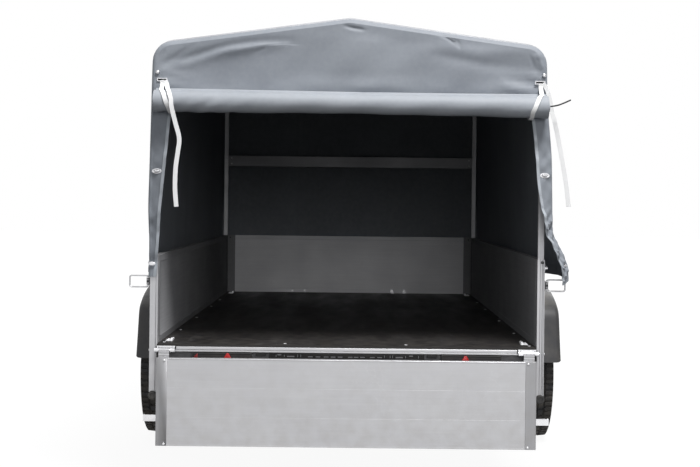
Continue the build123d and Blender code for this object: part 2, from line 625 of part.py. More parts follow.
def coupling_head():
    """Pressed coupling: two plates over the arms' noses, a web and the ball socket."""
    low, high = ARM_BASE - COUPLING_PLATE, ARM_TOP + COUPLING_PLATE
    back = WEB_Y - COUPLING_SLEEVE
    half = arm_x(back) + ARM_WIDTH / 2 + COUPLING_PLATE_RIM
    nose = ARM_NOSE + ARM_WIDTH / 2 + COUPLING_PLATE_RIM
    outline = polygon((-half, back), (half, back), (nose, WEB_Y), (-nose, WEB_Y))
    plate = extrude(outline, amount=COUPLING_PLATE)
    body = Pos(0, 0, ARM_TOP) * plate + Pos(0, 0, low) * plate
    body += block((-nose, nose), (WEB_Y, WEB_Y + COUPLING_PLATE), (low, high))
    z = (BALL_Z - HEAD_DOWN, BALL_Z + HEAD_UP)
    head = rod_z(HEAD_RADIUS, 0, BALL_Y, z)
    head += block((-HEAD_RADIUS, HEAD_RADIUS), (WEB_Y + COUPLING_PLATE - JOIN, BALL_Y), z)
    bore = BALL_RADIUS + BALL_GAP
    socket = Pos(0, BALL_Y, BALL_Z) * Sphere(bore) + rod_z(bore, 0, BALL_Y, (BALL_Z - SOCKET_DEPTH, BALL_Z))
    return body + head - socket


def coupling_handle():
    """Release lever lying on top of the coupling."""
    z = BALL_Z + HEAD_UP
    grip = block(around(0, HANDLE_WIDTH / 2), (WEB_Y - HANDLE_TAIL, BALL_Y - HANDLE_TIP),
                 (z + HANDLE_LIFT, z + HANDLE_LIFT + HANDLE_THICK))
    root = block(around(0, HANDLE_ROOT_WIDTH / 2), (BALL_Y + HANDLE_ROOT[0], BALL_Y + HANDLE_ROOT[1]),
                 (z, z + HANDLE_LIFT + JOIN))
    return grip + root


# --- Jockey wheel ----------------------------------------------------------------------------
def jockey_outer_tube():
    tube = rod_z(JOCKEY_TUBE_R, JOCKEY_X, JOCKEY_Y, (JOCKEY_TUBE_BASE, JOCKEY_TUBE_TOP))
    return tube - rod_z(JOCKEY_TUBE_R - JOCKEY_TUBE_WALL, JOCKEY_X, JOCKEY_Y,
                        (JOCKEY_TUBE_BASE - CUT, JOCKEY_TUBE_TOP - JOCKEY_TUBE_CAP))


def jockey_clamp():
    """Ring around the jockey tube, bolted to the side of the right arm."""
    z = (ARM_BASE + CLAMP_INSET, ARM_TOP - CLAMP_INSET)
    y0, y1 = around(JOCKEY_Y, CLAMP_HALF_LENGTH)
    outline = polygon((arm_x(y0) + ARM_HALF, y0), (JOCKEY_X - CLAMP_RIM, y0), (JOCKEY_X - CLAMP_RIM, y1),
                      (arm_x(y1) + ARM_HALF, y1))
    foot = Pos(0, 0, z[0]) * extrude(outline, amount=z[1] - z[0])
    ring = rod_z(JOCKEY_TUBE_R + CLAMP_RIM, JOCKEY_X, JOCKEY_Y, z)
    return foot + ring - rod_z(JOCKEY_TUBE_R, JOCKEY_X, JOCKEY_Y, (z[0] - CUT, z[1] + CUT))


def jockey_crank():
    """Crank on top of the outer tube: shaft, arm and knob."""
    top, arm_top = JOCKEY_TUBE_TOP, JOCKEY_TUBE_TOP + CRANK_RISE
    shaft = rod_z(CRANK_HALF, JOCKEY_X, JOCKEY_Y, (top, arm_top))
    arm = block((JOCKEY_X - CRANK_HALF, JOCKEY_X + CRANK_REACH), around(JOCKEY_Y, CRANK_HALF),
                (arm_top - CRANK_HALF, arm_top))
    knob_x = JOCKEY_X + CRANK_REACH - CRANK_KNOB_R
    return shaft + arm + rod_z(CRANK_KNOB_R, knob_x, JOCKEY_Y, (arm_top - JOIN, arm_top + CRANK_KNOB_LENGTH))


def jockey_inner_tube():
    """Sliding stem; the fork's kingpin turns in the hole in its lower end."""
    radius = JOCKEY_TUBE_R - JOCKEY_TUBE_WALL - JOCKEY_INNER_GAP
    top = JOCKEY_TUBE_TOP - JOCKEY_TUBE_CAP - JOCKEY_TRAVEL - JOCKEY_STEM_SPARE
    stem = rod_z(radius, JOCKEY_X, JOCKEY_Y, (FORK_TOP + STEM_ABOVE_FORK, top))
    return stem - rod_z(KINGPIN_R + JOCKEY_AXLE_GAP, JOCKEY_X, JOCKEY_Y,
                        (FORK_TOP, FORK_TOP + KINGPIN_LENGTH + KINGPIN_TOP_GAP))


def jockey_fork():
    """Castering fork with its kingpin and the wheel's axle."""
    half, y = JOCKEY_WHEEL_WIDTH / 2 + JOCKEY_FORK_SIDE_GAP, JOCKEY_Y - JOCKEY_TRAIL
    outer = half + JOCKEY_FORK_PLATE
    crown = (FORK_TOP - JOCKEY_FORK_PLATE, FORK_TOP)
    fork = block(around(JOCKEY_X, outer), (y - JOCKEY_FORK_HALF, JOCKEY_Y + JOCKEY_FORK_NOSE), crown)
    for x in ((JOCKEY_X - outer, JOCKEY_X - half), (JOCKEY_X + half, JOCKEY_X + outer)):
        fork += block(x, around(y, JOCKEY_FORK_HALF), (JOCKEY_WHEEL_R - JOCKEY_FORK_HALF, FORK_TOP - JOIN))
    fork += rod_x(JOCKEY_AXLE_R, around(JOCKEY_X, outer + JOCKEY_FORK_SIDE_GAP), y, JOCKEY_WHEEL_R)
    return fork + rod_z(KINGPIN_R, JOCKEY_X, JOCKEY_Y, (FORK_TOP - JOIN, FORK_TOP + KINGPIN_LENGTH))


def jockey_wheel():
    """Solid roller: boss, web and tread turned in one."""
    r, half, web = JOCKEY_WHEEL_R, JOCKEY_WHEEL_WIDTH / 2, JOCKEY_WEB_HALF
    boss = half + JOCKEY_BOSS_PROUD
    side = [(boss, JOCKEY_AXLE_R + JOCKEY_AXLE_GAP), (boss, JOCKEY_BOSS_R),
            (web, JOCKEY_BOSS_R + JOCKEY_WEB_FILLET), (web, r - JOCKEY_TREAD - JOCKEY_TREAD_SLOPE),
            (half, r - JOCKEY_TREAD), (half, r - JOCKEY_TREAD_ROUND), (half - JOCKEY_TREAD_ROUND, r)]
    outline = polygon(*side, *((-x, radius) for x, radius in reversed(side)))
    return Pos(JOCKEY_X, JOCKEY_Y - JOCKEY_TRAIL, JOCKEY_WHEEL_R) * revolve(outline, axis=Axis.X)


# --- Lights ----------------------------------------------------------------------------------
def light_board():
    """Sheet between the rear posts' feet that carries the lamps, folded forward at its foot."""
    low = POST_FOOT + LIGHT_BOARD_RISE
    sheet = block((-HALF, HALF), (LIGHT_BOARD_FACE, LIGHT_BOARD_FACE + LIGHT_BOARD_THICK),
                  (low, LIGHT_BOARD_TOP))
    return sheet + block((-HALF, HALF), (LIGHT_BOARD_FACE, POST_DEPTH), (low, low + LIGHT_BOARD_THICK))


def tail_lamps():
    lamp = block((LAMP_OUTER_X - LAMP_WIDTH, LAMP_OUTER_X), (LIGHT_BOARD_FACE - LAMP_DEPTH, LIGHT_BOARD_FACE),
                 (LAMP_TOP - LAMP_HEIGHT, LAMP_TOP))
    return pair(fillet(lamp.edges().filter_by(Axis.Y), LAMP_ROUND))


def plate_holder():
    return block(around(0, PLATE_WIDTH / 2), (LIGHT_BOARD_FACE - PLATE_DEPTH, LIGHT_BOARD_FACE),
                 (LAMP_TOP - PLATE_HEIGHT, LAMP_TOP))


def post_feet():
    """Round caps over the lower ends of the rear posts."""
    z = POST_FOOT - FOOT_CAP_DROP
    return pair(rod(FOOT_CAP_R, (FRAME_X, -FOOT_CAP_DEPTH, z), (FRAME_X, 0, z)))


# --- Cover -----------------------------------------------------------------------------------
def arch(inset, low):
    """Outline of the cover at a depth below its outer surface, closed at a height."""
    ridge = RIDGE_HEIGHT - inset / cos(COVER_SLOPE)
    eave = EAVE_HEIGHT - inset / cos(COVER_SLOPE) + inset * tan(COVER_SLOPE)
    top = COVER_HALF_TOP - inset
    bottom = top + (eave - low) * COVER_LEAN
    line = FilletPolyline((-bottom, low), (-top, eave), (0, ridge), (top, eave), (bottom, low),
                          radius=[EAVE_RADIUS - inset, RIDGE_RADIUS, EAVE_RADIUS - inset])
    return make_face([*line.edges(), Line((bottom, low), (-bottom, low))])


def cover_x(z):
    """Half-width of the cover's outer face at a height on its wall."""
    return COVER_HALF_TOP + (EAVE_HEIGHT - z) * COVER_LEAN


def cover_roof():
    """Roof panel with its rounded eaves, down to the seam with the walls."""
    start, length = COVER_REAR + COVER_THICK, COVER_FRONT - COVER_REAR - 2 * COVER_THICK
    shell = extruded(arch(0, ROOF_SPLIT), start, length)
    return shell - extruded(arch(COVER_THICK, ROOF_SPLIT - CUT), start - CUT, length + 2 * CUT)


def cover_sides():
    """Walls from the roof's seam down over the side boards, with holes for the studs."""
    start, end = COVER_REAR + COVER_THICK, COVER_FRONT - COVER_THICK
    low, high = cover_x(SKIRT_BOTTOM), cover_x(ROOF_SPLIT)
    outline = polygon((low - COVER_THICK, SKIRT_BOTTOM), (low, SKIRT_BOTTOM), (high, ROOF_SPLIT),
                      (high - COVER_THICK, ROOF_SPLIT))
    wall = extruded(outline, start, end - start)
    for y in STUD_ROWS:
        wall -= rod_x(STUD_HOLE_R, (OUTER, low + CUT), y, STUD_HEIGHT)
    return pair(wall)


def cover_front():
    wall = extruded(arch(0, SKIRT_BOTTOM), COVER_FRONT - COVER_THICK, COVER_THICK)
    for x in STUD_FRONT_X:
        wall -= rod(STUD_HOLE_R, (x, FRONT, STUD_HEIGHT), (x, COVER_FRONT + CUT, STUD_HEIGHT))
    return wall


def cover_rear():
    """Gable above the opening and the two tapering corner strips, in one sheet."""
    wall = extruded(arch(0, SKIRT_BOTTOM), COVER_REAR, COVER_THICK)
    top, low = cover_x(FLAP_EDGE) - STRIP_TOP, cover_x(SKIRT_BOTTOM) - STRIP_BOTTOM
    foot = SKIRT_BOTTOM - CUT
    opening = polygon((-low, foot), (low, foot), (top, FLAP_EDGE), (-top, FLAP_EDGE))
    return wall - extruded(opening, COVER_REAR - CUT, COVER_THICK + 2 * CUT)


def turn_button(face):
    """A stud with its turn-button, drawn standing out along +X from x = 0.

    face is how far the cover's outer surface is from the stud's foot.
    """
    length, height = STUD_BUTTON
    lift = face + STUD_BUTTON_LIFT
    button = rod_x(STUD_BASE_R, (0, STUD_BASE), 0, 0) + rod_x(STUD_R, (0, face + STUD_PROUD), 0, 0)
    return button + block((lift, lift + STUD_BUTTON_THICK), around(0, length / 2), around(0, height / 2))


def cover_fasteners():
    """Turn-buttons on the boards that hold the cover's skirt, and the eyelets on its corner strips."""
    side = Pos(OUTER, 0, STUD_HEIGHT) * turn_button(cover_x(STUD_HEIGHT) - OUTER)
    front = Pos(0, FRONT, STUD_HEIGHT) * Rot(0, 0, 90) * turn_button(COVER_AHEAD)
    length, height, thick = EYELET
    oval = Pos(cover_x(EYELET_HEIGHT) - EYELET_FROM_EDGE, EYELET_HEIGHT, 0) * SlotOverall(length, height)
    eyelet = extruded(oval, COVER_REAR - thick, thick)
    rights = [eyelet, *(Pos(0, y, 0) * side for y in STUD_ROWS)]
    return group([*rights, *(mirrored(s) for s in rights), *(Pos(x, 0, 0) * front for x in STUD_FRONT_X)])


def hoop(y):
    """Square-tube hoop under the cover, standing in two corner posts."""
    inset = COVER_THICK + FRAME_SEAT_GAP + FRAME_TUBE / 2
    ridge = RIDGE_HEIGHT - inset / cos(COVER_SLOPE)
    corner = ridge - FRAME_X * tan(COVER_SLOPE)
    bend = EAVE_RADIUS - inset
    points = [(-FRAME_X, HOOP_FOOT), (-FRAME_X, corner), (0, ridge), (FRAME_X, corner), (FRAME_X, HOOP_FOOT)]
    path = FilletPolyline(*((x, 0, z) for x, z in points), radius=[bend, RIDGE_RADIUS, bend])
    start = Plane(path @ 0, x_dir=(1, 0, 0), z_dir=path % 0)
    return Pos(0, y + FRAME_TUBE / 2, 0) * sweep(start * Rectangle(FRAME_TUBE, FRAME_TUBE), path=path)


def roof_rails():
    """Ridge and eave rails from hoop to hoop."""
    y = (REAR_HOOP_Y + FRAME_TUBE, FRONT_HOOP_Y)
    inset = COVER_THICK + FRAME_SEAT_GAP + FRAME_TUBE / 2
    ridge = RIDGE_HEIGHT - inset / cos(COVER_SLOPE) - ROOF_RAIL_DROP
    rail = block(around(0, FRAME_TUBE / 2), y, around(0, FRAME_TUBE / 2))
    x = HALF - RAIL_FROM_SIDE
    eave = Pos(x, 0, ridge - x * tan(COVER_SLOPE)) * Rot(0, degrees(COVER_SLOPE), 0) * rail
    return group([Pos(0, 0, ridge) * rail, eave, mirrored(eave)])


def front_cross_rail():
    """Board across the front hoop that keeps the cover off the load."""
    x = FRAME_X - FRAME_TUBE / 2
    return block((-x, x), (FRONT_HOOP_Y, FRONT_HOOP_Y + FRAME_TUBE), (FRONT_RAIL_LOW, FRONT_RAIL_HIGH))


# --- Rolled flap -----------------------------------------------------------------------------
def flap_roll():
    return rod_x(ROLL_RADIUS, ROLL_X, ROLL_Y, ROLL_HEIGHT)


def strap_ring(x):
    """A webbing strap round the outer half of the roll."""
    inner = ROLL_RADIUS + ROLL_GAP
    ring = rod_x(inner + STRAP_THICK, around(x, STRAP_WIDTH / 2), ROLL_Y, ROLL_HEIGHT)
    ring -= rod_x(inner, around(x, STRAP_WIDTH), ROLL_Y, ROLL_HEIGHT)
    return ring - block(around(x, STRAP_CUT), (ROLL_Y, 0), around(ROLL_HEIGHT, STRAP_CUT_HEIGHT))


def strap_tail(x, points, y):
    """The hanging end of a strap, flat in the x-z plane behind y.

    The points are (distance outwards from x, height).
    """
    path = FilletPolyline(*((x + out, z) for out, z in points), radius=STRAP_BEND)
    return extruded(trace(path, STRAP_WIDTH), y - STRAP_THICK, STRAP_THICK)


def roll_straps():
    """Both straps: the left end hangs in front of the roll, and the right one beside it."""
    left, right = STRAP_LEFT - HALF, HALF - STRAP_RIGHT
    front = ROLL_Y - ROLL_RADIUS - ROLL_GAP
    left_tail = strap_tail(left, [(-out, z) for out, z in LEFT_TAIL], front)
    return group([strap_ring(left) + left_tail, strap_ring(right), strap_tail(OUTER, RIGHT_TAIL, COVER_REAR)])


def flap_cord():
    """Stiff end of the cord in the flap's hem, standing out of the roll."""
    bends = []
    for a, b, c in zip(CORD_POINTS, CORD_POINTS[1:], CORD_POINTS[2:]):
        before, after = Vector(*b) - Vector(*a), Vector(*c) - Vector(*b)
        half = radians(before.get_angle(after)) / 2
        bends.append(CORD_BEND_SHARE * min(before.length, after.length) / tan(half))
    path = FilletPolyline(*CORD_POINTS, radius=bends)
    return sweep(Plane(path @ 0, z_dir=path % 0) * Circle(CORD_RADIUS), path=path)


# --- Lashing rings ---------------------------------------------------------------------------
def lashing_rings():
    """A base plate with a fixed ring on the floor at each corner."""
    length, width, plate = RING_PLATE
    top, arms = plate + RING_BAR, (RING_BACK, RING_FRONT)
    shape = block(around(0, length / 2), around(0, width / 2), (0, plate))
    shape += block((-RING_HALF, RING_BAR - RING_HALF), arms, (plate, top))
    shape += block((RING_HALF - RING_BAR, RING_HALF), arms, (plate, top))
    shape += block((-RING_HALF, RING_HALF), (RING_FRONT - RING_BAR, RING_FRONT), (plate, top))
    return group(Pos(x, y, FLOOR_TOP) * shape for x, y in RING_PLACES)


def build():
    """Every node by name, in the drawing frame."""
    side, arm, guard, latch = side_board(), drawbar_arm(), mudguard(), latch_bail()
    right_tyre, right_rim, right_hub = tyre(), rim(), hub()
    return {
        "floor_panel": floor_panel(), "rear_sill": rear_sill(),
        "side_board_left": mirrored(side), "side_board_right": side, "front_board": front_board(),
        "rear_posts": rear_posts(), "front_posts": front_posts(), "side_rails": side_rails(),
        "cross_members": cross_members(),
        "drawbar_left": mirrored(arm), "drawbar_right": arm, "coupling_head": coupling_head(),
        "coupling_handle": coupling_handle(), "axle_tube": axle_tube(), "axle_brackets": axle_brackets(),
        "swing_arms": swing_arms(), "mudguard_left": mirrored(guard), "mudguard_right": guard,
        "light_board": light_board(), "tail_lamps": tail_lamps(), "plate_holder": plate_holder(),
        "sill_hinges": sill_hinges(), "latch_bases": latch_bases(), "post_feet": post_feet(),
        "rear_hoop": hoop(REAR_HOOP_Y), "front_hoop": hoop(FRONT_HOOP_Y), "roof_rails": roof_rails(),
        "front_cross_rail": front_cross_rail(), "cover_roof": cover_roof(), "cover_sides": cover_sides(),
        "cover_front": cover_front(), "cover_rear": cover_rear(), "cover_fasteners": cover_fasteners(),
        "flap_roll": flap_roll(), "roll_straps": roll_straps(), "flap_cord": flap_cord(),
        "lashing_rings": lashing_rings(), "jockey_clamp": jockey_clamp(),
        "jockey_outer_tube": jockey_outer_tube(), "jockey_crank": jockey_crank(),
        "jockey_inner_tube": jockey_inner_tube(), "jockey_fork": jockey_fork(),
        "jockey_wheel": jockey_wheel(),
        "tailgate_panel": tailgate_panel(), "tailgate_caps": tailgate_caps(),
        "tailgate_hinges": tailgate_hinges(), "tailgate_keepers": tailgate_keepers(),
        "latch_bail_left": mirrored(latch), "latch_bail_right": latch,
        "tyre_left": mirrored(right_tyre), "rim_left": mirrored(right_rim), "hub_left": mirrored(right_hub),
        "tyre_right": right_tyre, "rim_right": right_rim, "hub_right": right_hub,
    }


def main():
    """Moves every node to the shared frame and writes it to parts/."""
    nodes = build()
    boxes = [shape.bounding_box() for name, shape in nodes.items() if name != "flap_cord"]
    middle_x = (min(b.min.X for b in boxes) + max(b.max.X for b in boxes)) / 2
    middle_y = (min(b.min.Y for b in boxes) + max(b.max.Y for b in boxes)) / 2
    low = min(b.min.Z for b in boxes)
    os.makedirs("parts", exist_ok=True)
    for name, shape in nodes.items():
        export_step(Pos(-middle_x, -middle_y, -low) * shape, f"parts/{name}.step")
    print("moved by", [round(-v, 3) for v in (middle_x, middle_y, low)])


main()
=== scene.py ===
"""Box trailer with a tarpaulin cover: every visible piece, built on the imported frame.

Metres, +Z up, +Y towards the coupling. The origin is the middle of the trailer's footprint.
"""

from __future__ import annotations

import json
import logging
import math
from contextlib import contextmanager
from dataclasses import dataclass, field
from enum import Enum
from typing import Callable, Iterator, Sequence

import bmesh
import bpy
import numpy as np
from mathutils import Matrix, Vector

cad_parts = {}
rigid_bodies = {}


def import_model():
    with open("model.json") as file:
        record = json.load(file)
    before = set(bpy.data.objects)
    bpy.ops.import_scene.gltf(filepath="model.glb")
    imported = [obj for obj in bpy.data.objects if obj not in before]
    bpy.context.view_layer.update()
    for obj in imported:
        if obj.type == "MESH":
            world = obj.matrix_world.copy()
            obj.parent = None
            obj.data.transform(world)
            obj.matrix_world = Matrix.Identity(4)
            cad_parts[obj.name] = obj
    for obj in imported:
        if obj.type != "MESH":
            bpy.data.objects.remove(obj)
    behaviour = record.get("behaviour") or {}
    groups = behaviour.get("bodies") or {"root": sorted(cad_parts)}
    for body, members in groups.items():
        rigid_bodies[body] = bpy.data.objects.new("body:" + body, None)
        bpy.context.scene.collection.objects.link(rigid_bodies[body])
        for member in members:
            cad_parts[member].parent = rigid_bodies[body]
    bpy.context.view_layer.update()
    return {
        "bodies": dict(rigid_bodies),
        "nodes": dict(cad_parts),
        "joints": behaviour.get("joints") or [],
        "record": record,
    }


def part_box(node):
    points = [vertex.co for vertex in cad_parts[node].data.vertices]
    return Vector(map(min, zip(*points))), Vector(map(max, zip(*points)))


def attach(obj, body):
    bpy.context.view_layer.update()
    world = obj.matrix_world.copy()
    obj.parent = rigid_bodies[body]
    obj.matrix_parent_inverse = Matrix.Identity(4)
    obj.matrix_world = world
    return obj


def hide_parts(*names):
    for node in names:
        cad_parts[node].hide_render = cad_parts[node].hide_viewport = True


LOG = logging.getLogger("trailer")
MERGE = 1e-5
WAY_TOLERANCE = 1e-4
ALONG = 0.9
SMOOTH_ANGLE = math.radians(35)

Point = tuple[float, float, float]
Flat = tuple[float, float]
Rgb = tuple[float, float, float]
Array = np.ndarray
Obj = bpy.types.Object
Socket = bpy.types.NodeSocket
Sockets = bpy.types.bpy_prop_collection


class Axis(Enum):
    """One of the frame's three directions."""

    X = 0
    Y = 1
    Z = 2

    @property
    def vector(self) -> Vector:
        """The direction as a unit vector."""
        return Vector([float(k == self.value) for k in range(3)])


class Way(Enum):
    """The ways that a face can point."""

    OUT = (1, 0, 0)
    BACK = (0, -1, 0)
    UP = (0, 0, 1)
    DOWN = (0, 0, -1)


class Side(Enum):
    """The trailer's two sides, seen from the rear."""

    LEFT = -1
    RIGHT = 1

    @property
    def label(self) -> str:
        """The side's name in piece names."""
        return self.name.lower()


# --- Bench: modelling steps that every sub-assembly uses --------------------------------------
def clear_selection() -> None:
    """Leaves object mode with nothing selected and nothing active."""
    if bpy.context.object and bpy.context.object.mode != "OBJECT":
        bpy.ops.object.mode_set(mode="OBJECT")
    bpy.ops.object.select_all(action="DESELECT")


def take(*objs: Obj) -> Obj:
    """Selects only these objects.

    Args:
        objs: The objects; the first becomes the active one.

    Returns:
        The active object.
    """
    clear_selection()
    for obj in objs:
        obj.select_set(True)
    bpy.context.view_layer.objects.active = objs[0]
    return objs[0]


@contextmanager
def editing(obj: Obj, mode: str = "FACE") -> Iterator[bpy.types.Mesh]:
    """Opens an object in edit mode with nothing selected.

    Args:
        obj: The mesh object.
        mode: VERT, EDGE or FACE.

    Yields:
        The object's mesh.
    """
    take(obj)
    bpy.ops.object.mode_set(mode="EDIT")
    bpy.ops.mesh.select_mode(type=mode)
    bpy.ops.mesh.select_all(action="DESELECT")
    yield obj.data
    bpy.ops.object.mode_set(mode="OBJECT")


def named(name: str) -> Obj:
    """Names the newest object and puts its place, turn and scale into its mesh.

    Args:
        name: The object's name, and its mesh's.

    Returns:
        The object.
    """
    obj = take(bpy.context.object)
    obj.name = obj.data.name = name
    bpy.ops.object.transform_apply(location=True, rotation=True, scale=True)
    return obj


def block(name: str, low: Sequence[float], high: Sequence[float]) -> Obj:
    """Starts a piece from a cube between two corners.

    Args:
        name: The piece's name.
        low: Lowest corner.
        high: Highest corner.

    Returns:
        The new object.
    """
    clear_selection()
    middle = [(a + b) / 2 for a, b in zip(low, high)]
    size = [b - a for a, b in zip(low, high)]
    bpy.ops.mesh.primitive_cube_add(size=1, location=middle, scale=size)
    return named(name)


def drum(name: str, start: Sequence[float], end: Sequence[float], radius: float,
         sides: int = 32) -> Obj:
    """Starts a piece from a cylinder between two points.

    Args:
        name: The piece's name.
        start: Middle of one end.
        end: Middle of the other end.
        radius: The cylinder's radius.
        sides: Number of flats round it.

    Returns:
        The new object.
    """
    clear_selection()
    a, b = Vector(start), Vector(end)
    turn = (b - a).normalized().to_track_quat("Z", "Y").to_euler()
    bpy.ops.mesh.primitive_cylinder_add(vertices=sides, radius=radius, depth=(b - a).length,
                                        location=(a + b) / 2, rotation=turn)
    return named(name)


def ball(name: str, centre: Sequence[float], radii: Sequence[float], rings: int = 12) -> Obj:
    """Starts a piece from a sphere stretched to three radii.

    Args:
        name: The piece's name.
        centre: The middle.
        radii: Half sizes along X, Y and Z.
        rings: Rings from pole to pole; twice as many segments go round.

    Returns:
        The new object.
    """
    clear_selection()
    bpy.ops.mesh.primitive_uv_sphere_add(segments=2 * rings, ring_count=rings, radius=1,
                                         location=centre, scale=radii)
    return named(name)


def outlined(name: str, points: Sequence[Flat], across: Axis, at: float) -> Obj:
    """Starts a piece from a ring of vertices laid on a flat outline.

    Args:
        name: The piece's name.
        points: The outline as pairs in the two directions other than across, in X, Y, Z order.
        across: The direction square to the outline.
        at: The outline's place along it.

    Returns:
        The new object: one closed loop of edges.
    """
    clear_selection()
    bpy.ops.mesh.primitive_circle_add(vertices=len(points), radius=1, fill_type="NOTHING")
    obj = named(name)
    for vertex, point in zip(obj.data.vertices, points):
        place = list(point)
        place.insert(across.value, at)
        vertex.co = place
    return obj


def tidy(obj: Obj) -> Obj:
    """Merges doubled vertices and points every face outwards.

    Args:
        obj: The mesh object.

    Returns:
        The same object.
    """
    with editing(obj, "VERT"):
        bpy.ops.mesh.select_all(action="SELECT")
        bpy.ops.mesh.remove_doubles(threshold=MERGE)
        bpy.ops.mesh.normals_make_consistent(inside=False)
    return obj


def extrude(step: Sequence[float]) -> None:
    """Extrudes what is selected in edit mode by a step."""
    bpy.ops.mesh.extrude_region_move(TRANSFORM_OT_translate={"value": step})


def extruded(name: str, points: Sequence[Flat], across: Axis, start: float, end: float) -> Obj:
    """Makes a bar of one section.

    Args:
        name: The piece's name.
        points: The section's outline, as outlined() takes it.
        across: The bar's direction.
        start: Where the bar begins along it.
        end: Where it ends.

    Returns:
        The closed bar.
    """
    obj = outlined(name, points, across, start)
    with editing(obj, "EDGE"):
        bpy.ops.mesh.select_all(action="SELECT")
        bpy.ops.mesh.edge_face_add()
        extrude(across.vector * (end - start))
    return tidy(obj)


def spun(name: str, points: Sequence[Flat], centre: Flat, steps: int,
         span: Flat = (0.0, 360.0)) -> Obj:
    """Turns a section about an axle that runs along X.

    Args:
        name: The piece's name.
        points: The section as (x, radius) pairs.
        centre: The axle's y and z.
        steps: Number of steps over the span.
        span: First and last angle in degrees, from +Y towards +Z.

    Returns:
        The ring, closed at its ends where it isn't a full turn.
    """
    first = math.radians(span[0])
    obj = outlined(name, [(x, 0.0) for x, _ in points], Axis.Z, 0.0)
    for vertex, (x, radius) in zip(obj.data.vertices, points):
        vertex.co = (x, centre[0] + radius * math.cos(first), centre[1] + radius * math.sin(first))
    whole = span[1] - span[0] >= 360.0
    with editing(obj, "EDGE"):
        bpy.ops.mesh.select_all(action="SELECT")
        if not whole:
            bpy.ops.mesh.edge_face_add()
        bpy.ops.mesh.spin(steps=steps, angle=math.radians(span[1] - span[0]), center=(0, *centre),
                          axis=(-1, 0, 0), use_auto_merge=whole)
    return tidy(obj)


def pick_faces(obj: Obj, test: Callable[[Vector, Vector], bool]) -> int:
    """Selects faces of an object in edit mode by their place and normal.

    Args:
        obj: The object, in edit mode with nothing selected.
        test: Says yes to a face's middle and normal.

    Returns:
        How many faces were chosen.
    """
    mesh = bmesh.from_edit_mesh(obj.data)
    chosen = [f for f in mesh.faces if test(f.calc_center_median(), f.normal)]
    for face in chosen:
        face.select_set(True)
    bmesh.update_edit_mesh(obj.data)
    return len(chosen)


def pushed(obj: Obj, way: Way, out: float, inset: float = 0.0) -> Obj:
    """Extrudes the outermost faces that point a way, after an inset if one is given.

    Args:
        obj: The mesh object.
        way: The way the faces point.
        out: How far they move that way; less than nothing pushes them in.
        inset: Width of the border left around them.

    Returns:
        The same object.
    """
    toward = Vector(way.value)
    edge = max(corner.co @ toward for corner in obj.data.vertices) - WAY_TOLERANCE
    with editing(obj):
        if pick_faces(obj, lambda c, n: n @ toward > ALONG and c @ toward > edge):
            if inset:
                bpy.ops.mesh.inset(thickness=inset, depth=0)
            extrude(toward * out)
        else:
            LOG.warning("%s: no face chosen", obj.name)
    return obj


def applied(obj: Obj, kind: str, **settings: object) -> Obj:
    """Adds a modifier and applies it.

    Args:
        obj: The mesh object.
        kind: The modifier's type.
        settings: Its values by name.

    Returns:
        The same object.
    """
    modifier = obj.modifiers.new(kind.title(), kind)
    for key, value in settings.items():
        setattr(modifier, key, value)
    take(obj)
    bpy.ops.object.modifier_apply(modifier=modifier.name)
    return obj


def smooth(obj: Obj, angle: float = SMOOTH_ANGLE) -> Obj:
    """Shades an object smooth except across sharp edges.

    Args:
        obj: The mesh object.
        angle: Smallest angle between faces that stays sharp.

    Returns:
        The same object.
    """
    take(obj)
    bpy.ops.object.shade_smooth_by_angle(angle=angle)
    return obj


def rounded(obj: Obj, width: float, segments: int = 2, angle: float = 30.0) -> Obj:
    """Bevels an object's sharp edges, applies it and shades the result.

    Args:
        obj: The mesh object.
        width: The bevel's width.
        segments: Faces across it.
        angle: Smallest angle between faces that counts as sharp, in degrees.

    Returns:
        The same object.
    """
    applied(obj, "BEVEL", width=width, segments=segments, limit_method="ANGLE",
            angle_limit=math.radians(angle), use_clamp_overlap=True)
    return applied(smooth(obj), "WEIGHTED_NORMAL", keep_sharp=True)


def copied(obj: Obj, name: str, shift: Sequence[float] = (0, 0, 0)) -> Obj:
    """Copies a piece with a mesh of its own.

    Args:
        obj: The piece.
        name: The copy's name.
        shift: How far the copy moves.

    Returns:
        The copy.
    """
    take(obj)
    bpy.ops.object.duplicate(linked=False)
    copy = bpy.context.object
    copy.name = copy.data.name = name
    copy.data.transform(Matrix.Translation(shift))
    return copy


def flipped(obj: Obj, name: str) -> Obj:
    """The mirror image of a piece on the trailer's other side.

    Args:
        obj: The piece.
        name: The image's name.

    Returns:
        The new piece, with its faces pointing outwards.
    """
    image = copied(obj, name)
    image.data.transform(Matrix.Scale(-1, 4, Vector((1, 0, 0))))
    image.data.flip_normals()
    return image


def joined(name: str, pieces: Sequence[Obj]) -> Obj:
    """Joins pieces into one object.

    Args:
        name: The joined object's name.
        pieces: The pieces, which go into it.

    Returns:
        The joined object.
    """
    obj = take(*pieces)
    if len(pieces) > 1:
        bpy.ops.object.join()
    obj.name = obj.data.name = name
    return obj


def paired(name: str, piece: Obj) -> Obj:
    """Joins a piece of the right side with its mirror image on the left.

    Args:
        name: The joined object's name.
        piece: The piece, which goes into it.

    Returns:
        The joined object.
    """
    return joined(name, [flipped(piece, f"{name}-left"), piece])


def repeated(obj: Obj, name: str, shifts: Sequence[Sequence[float]]) -> Obj:
    """Copies a piece to several places and joins the copies; the piece itself is used up.

    Args:
        obj: The piece, modelled once.
        name: The joined object's name.
        shifts: How far each copy moves.

    Returns:
        The joined copies.
    """
    copies = [copied(obj, f"{name}-{k}", shift) for k, shift in enumerate(shifts)]
    bpy.data.objects.remove(obj)
    return joined(name, copies)


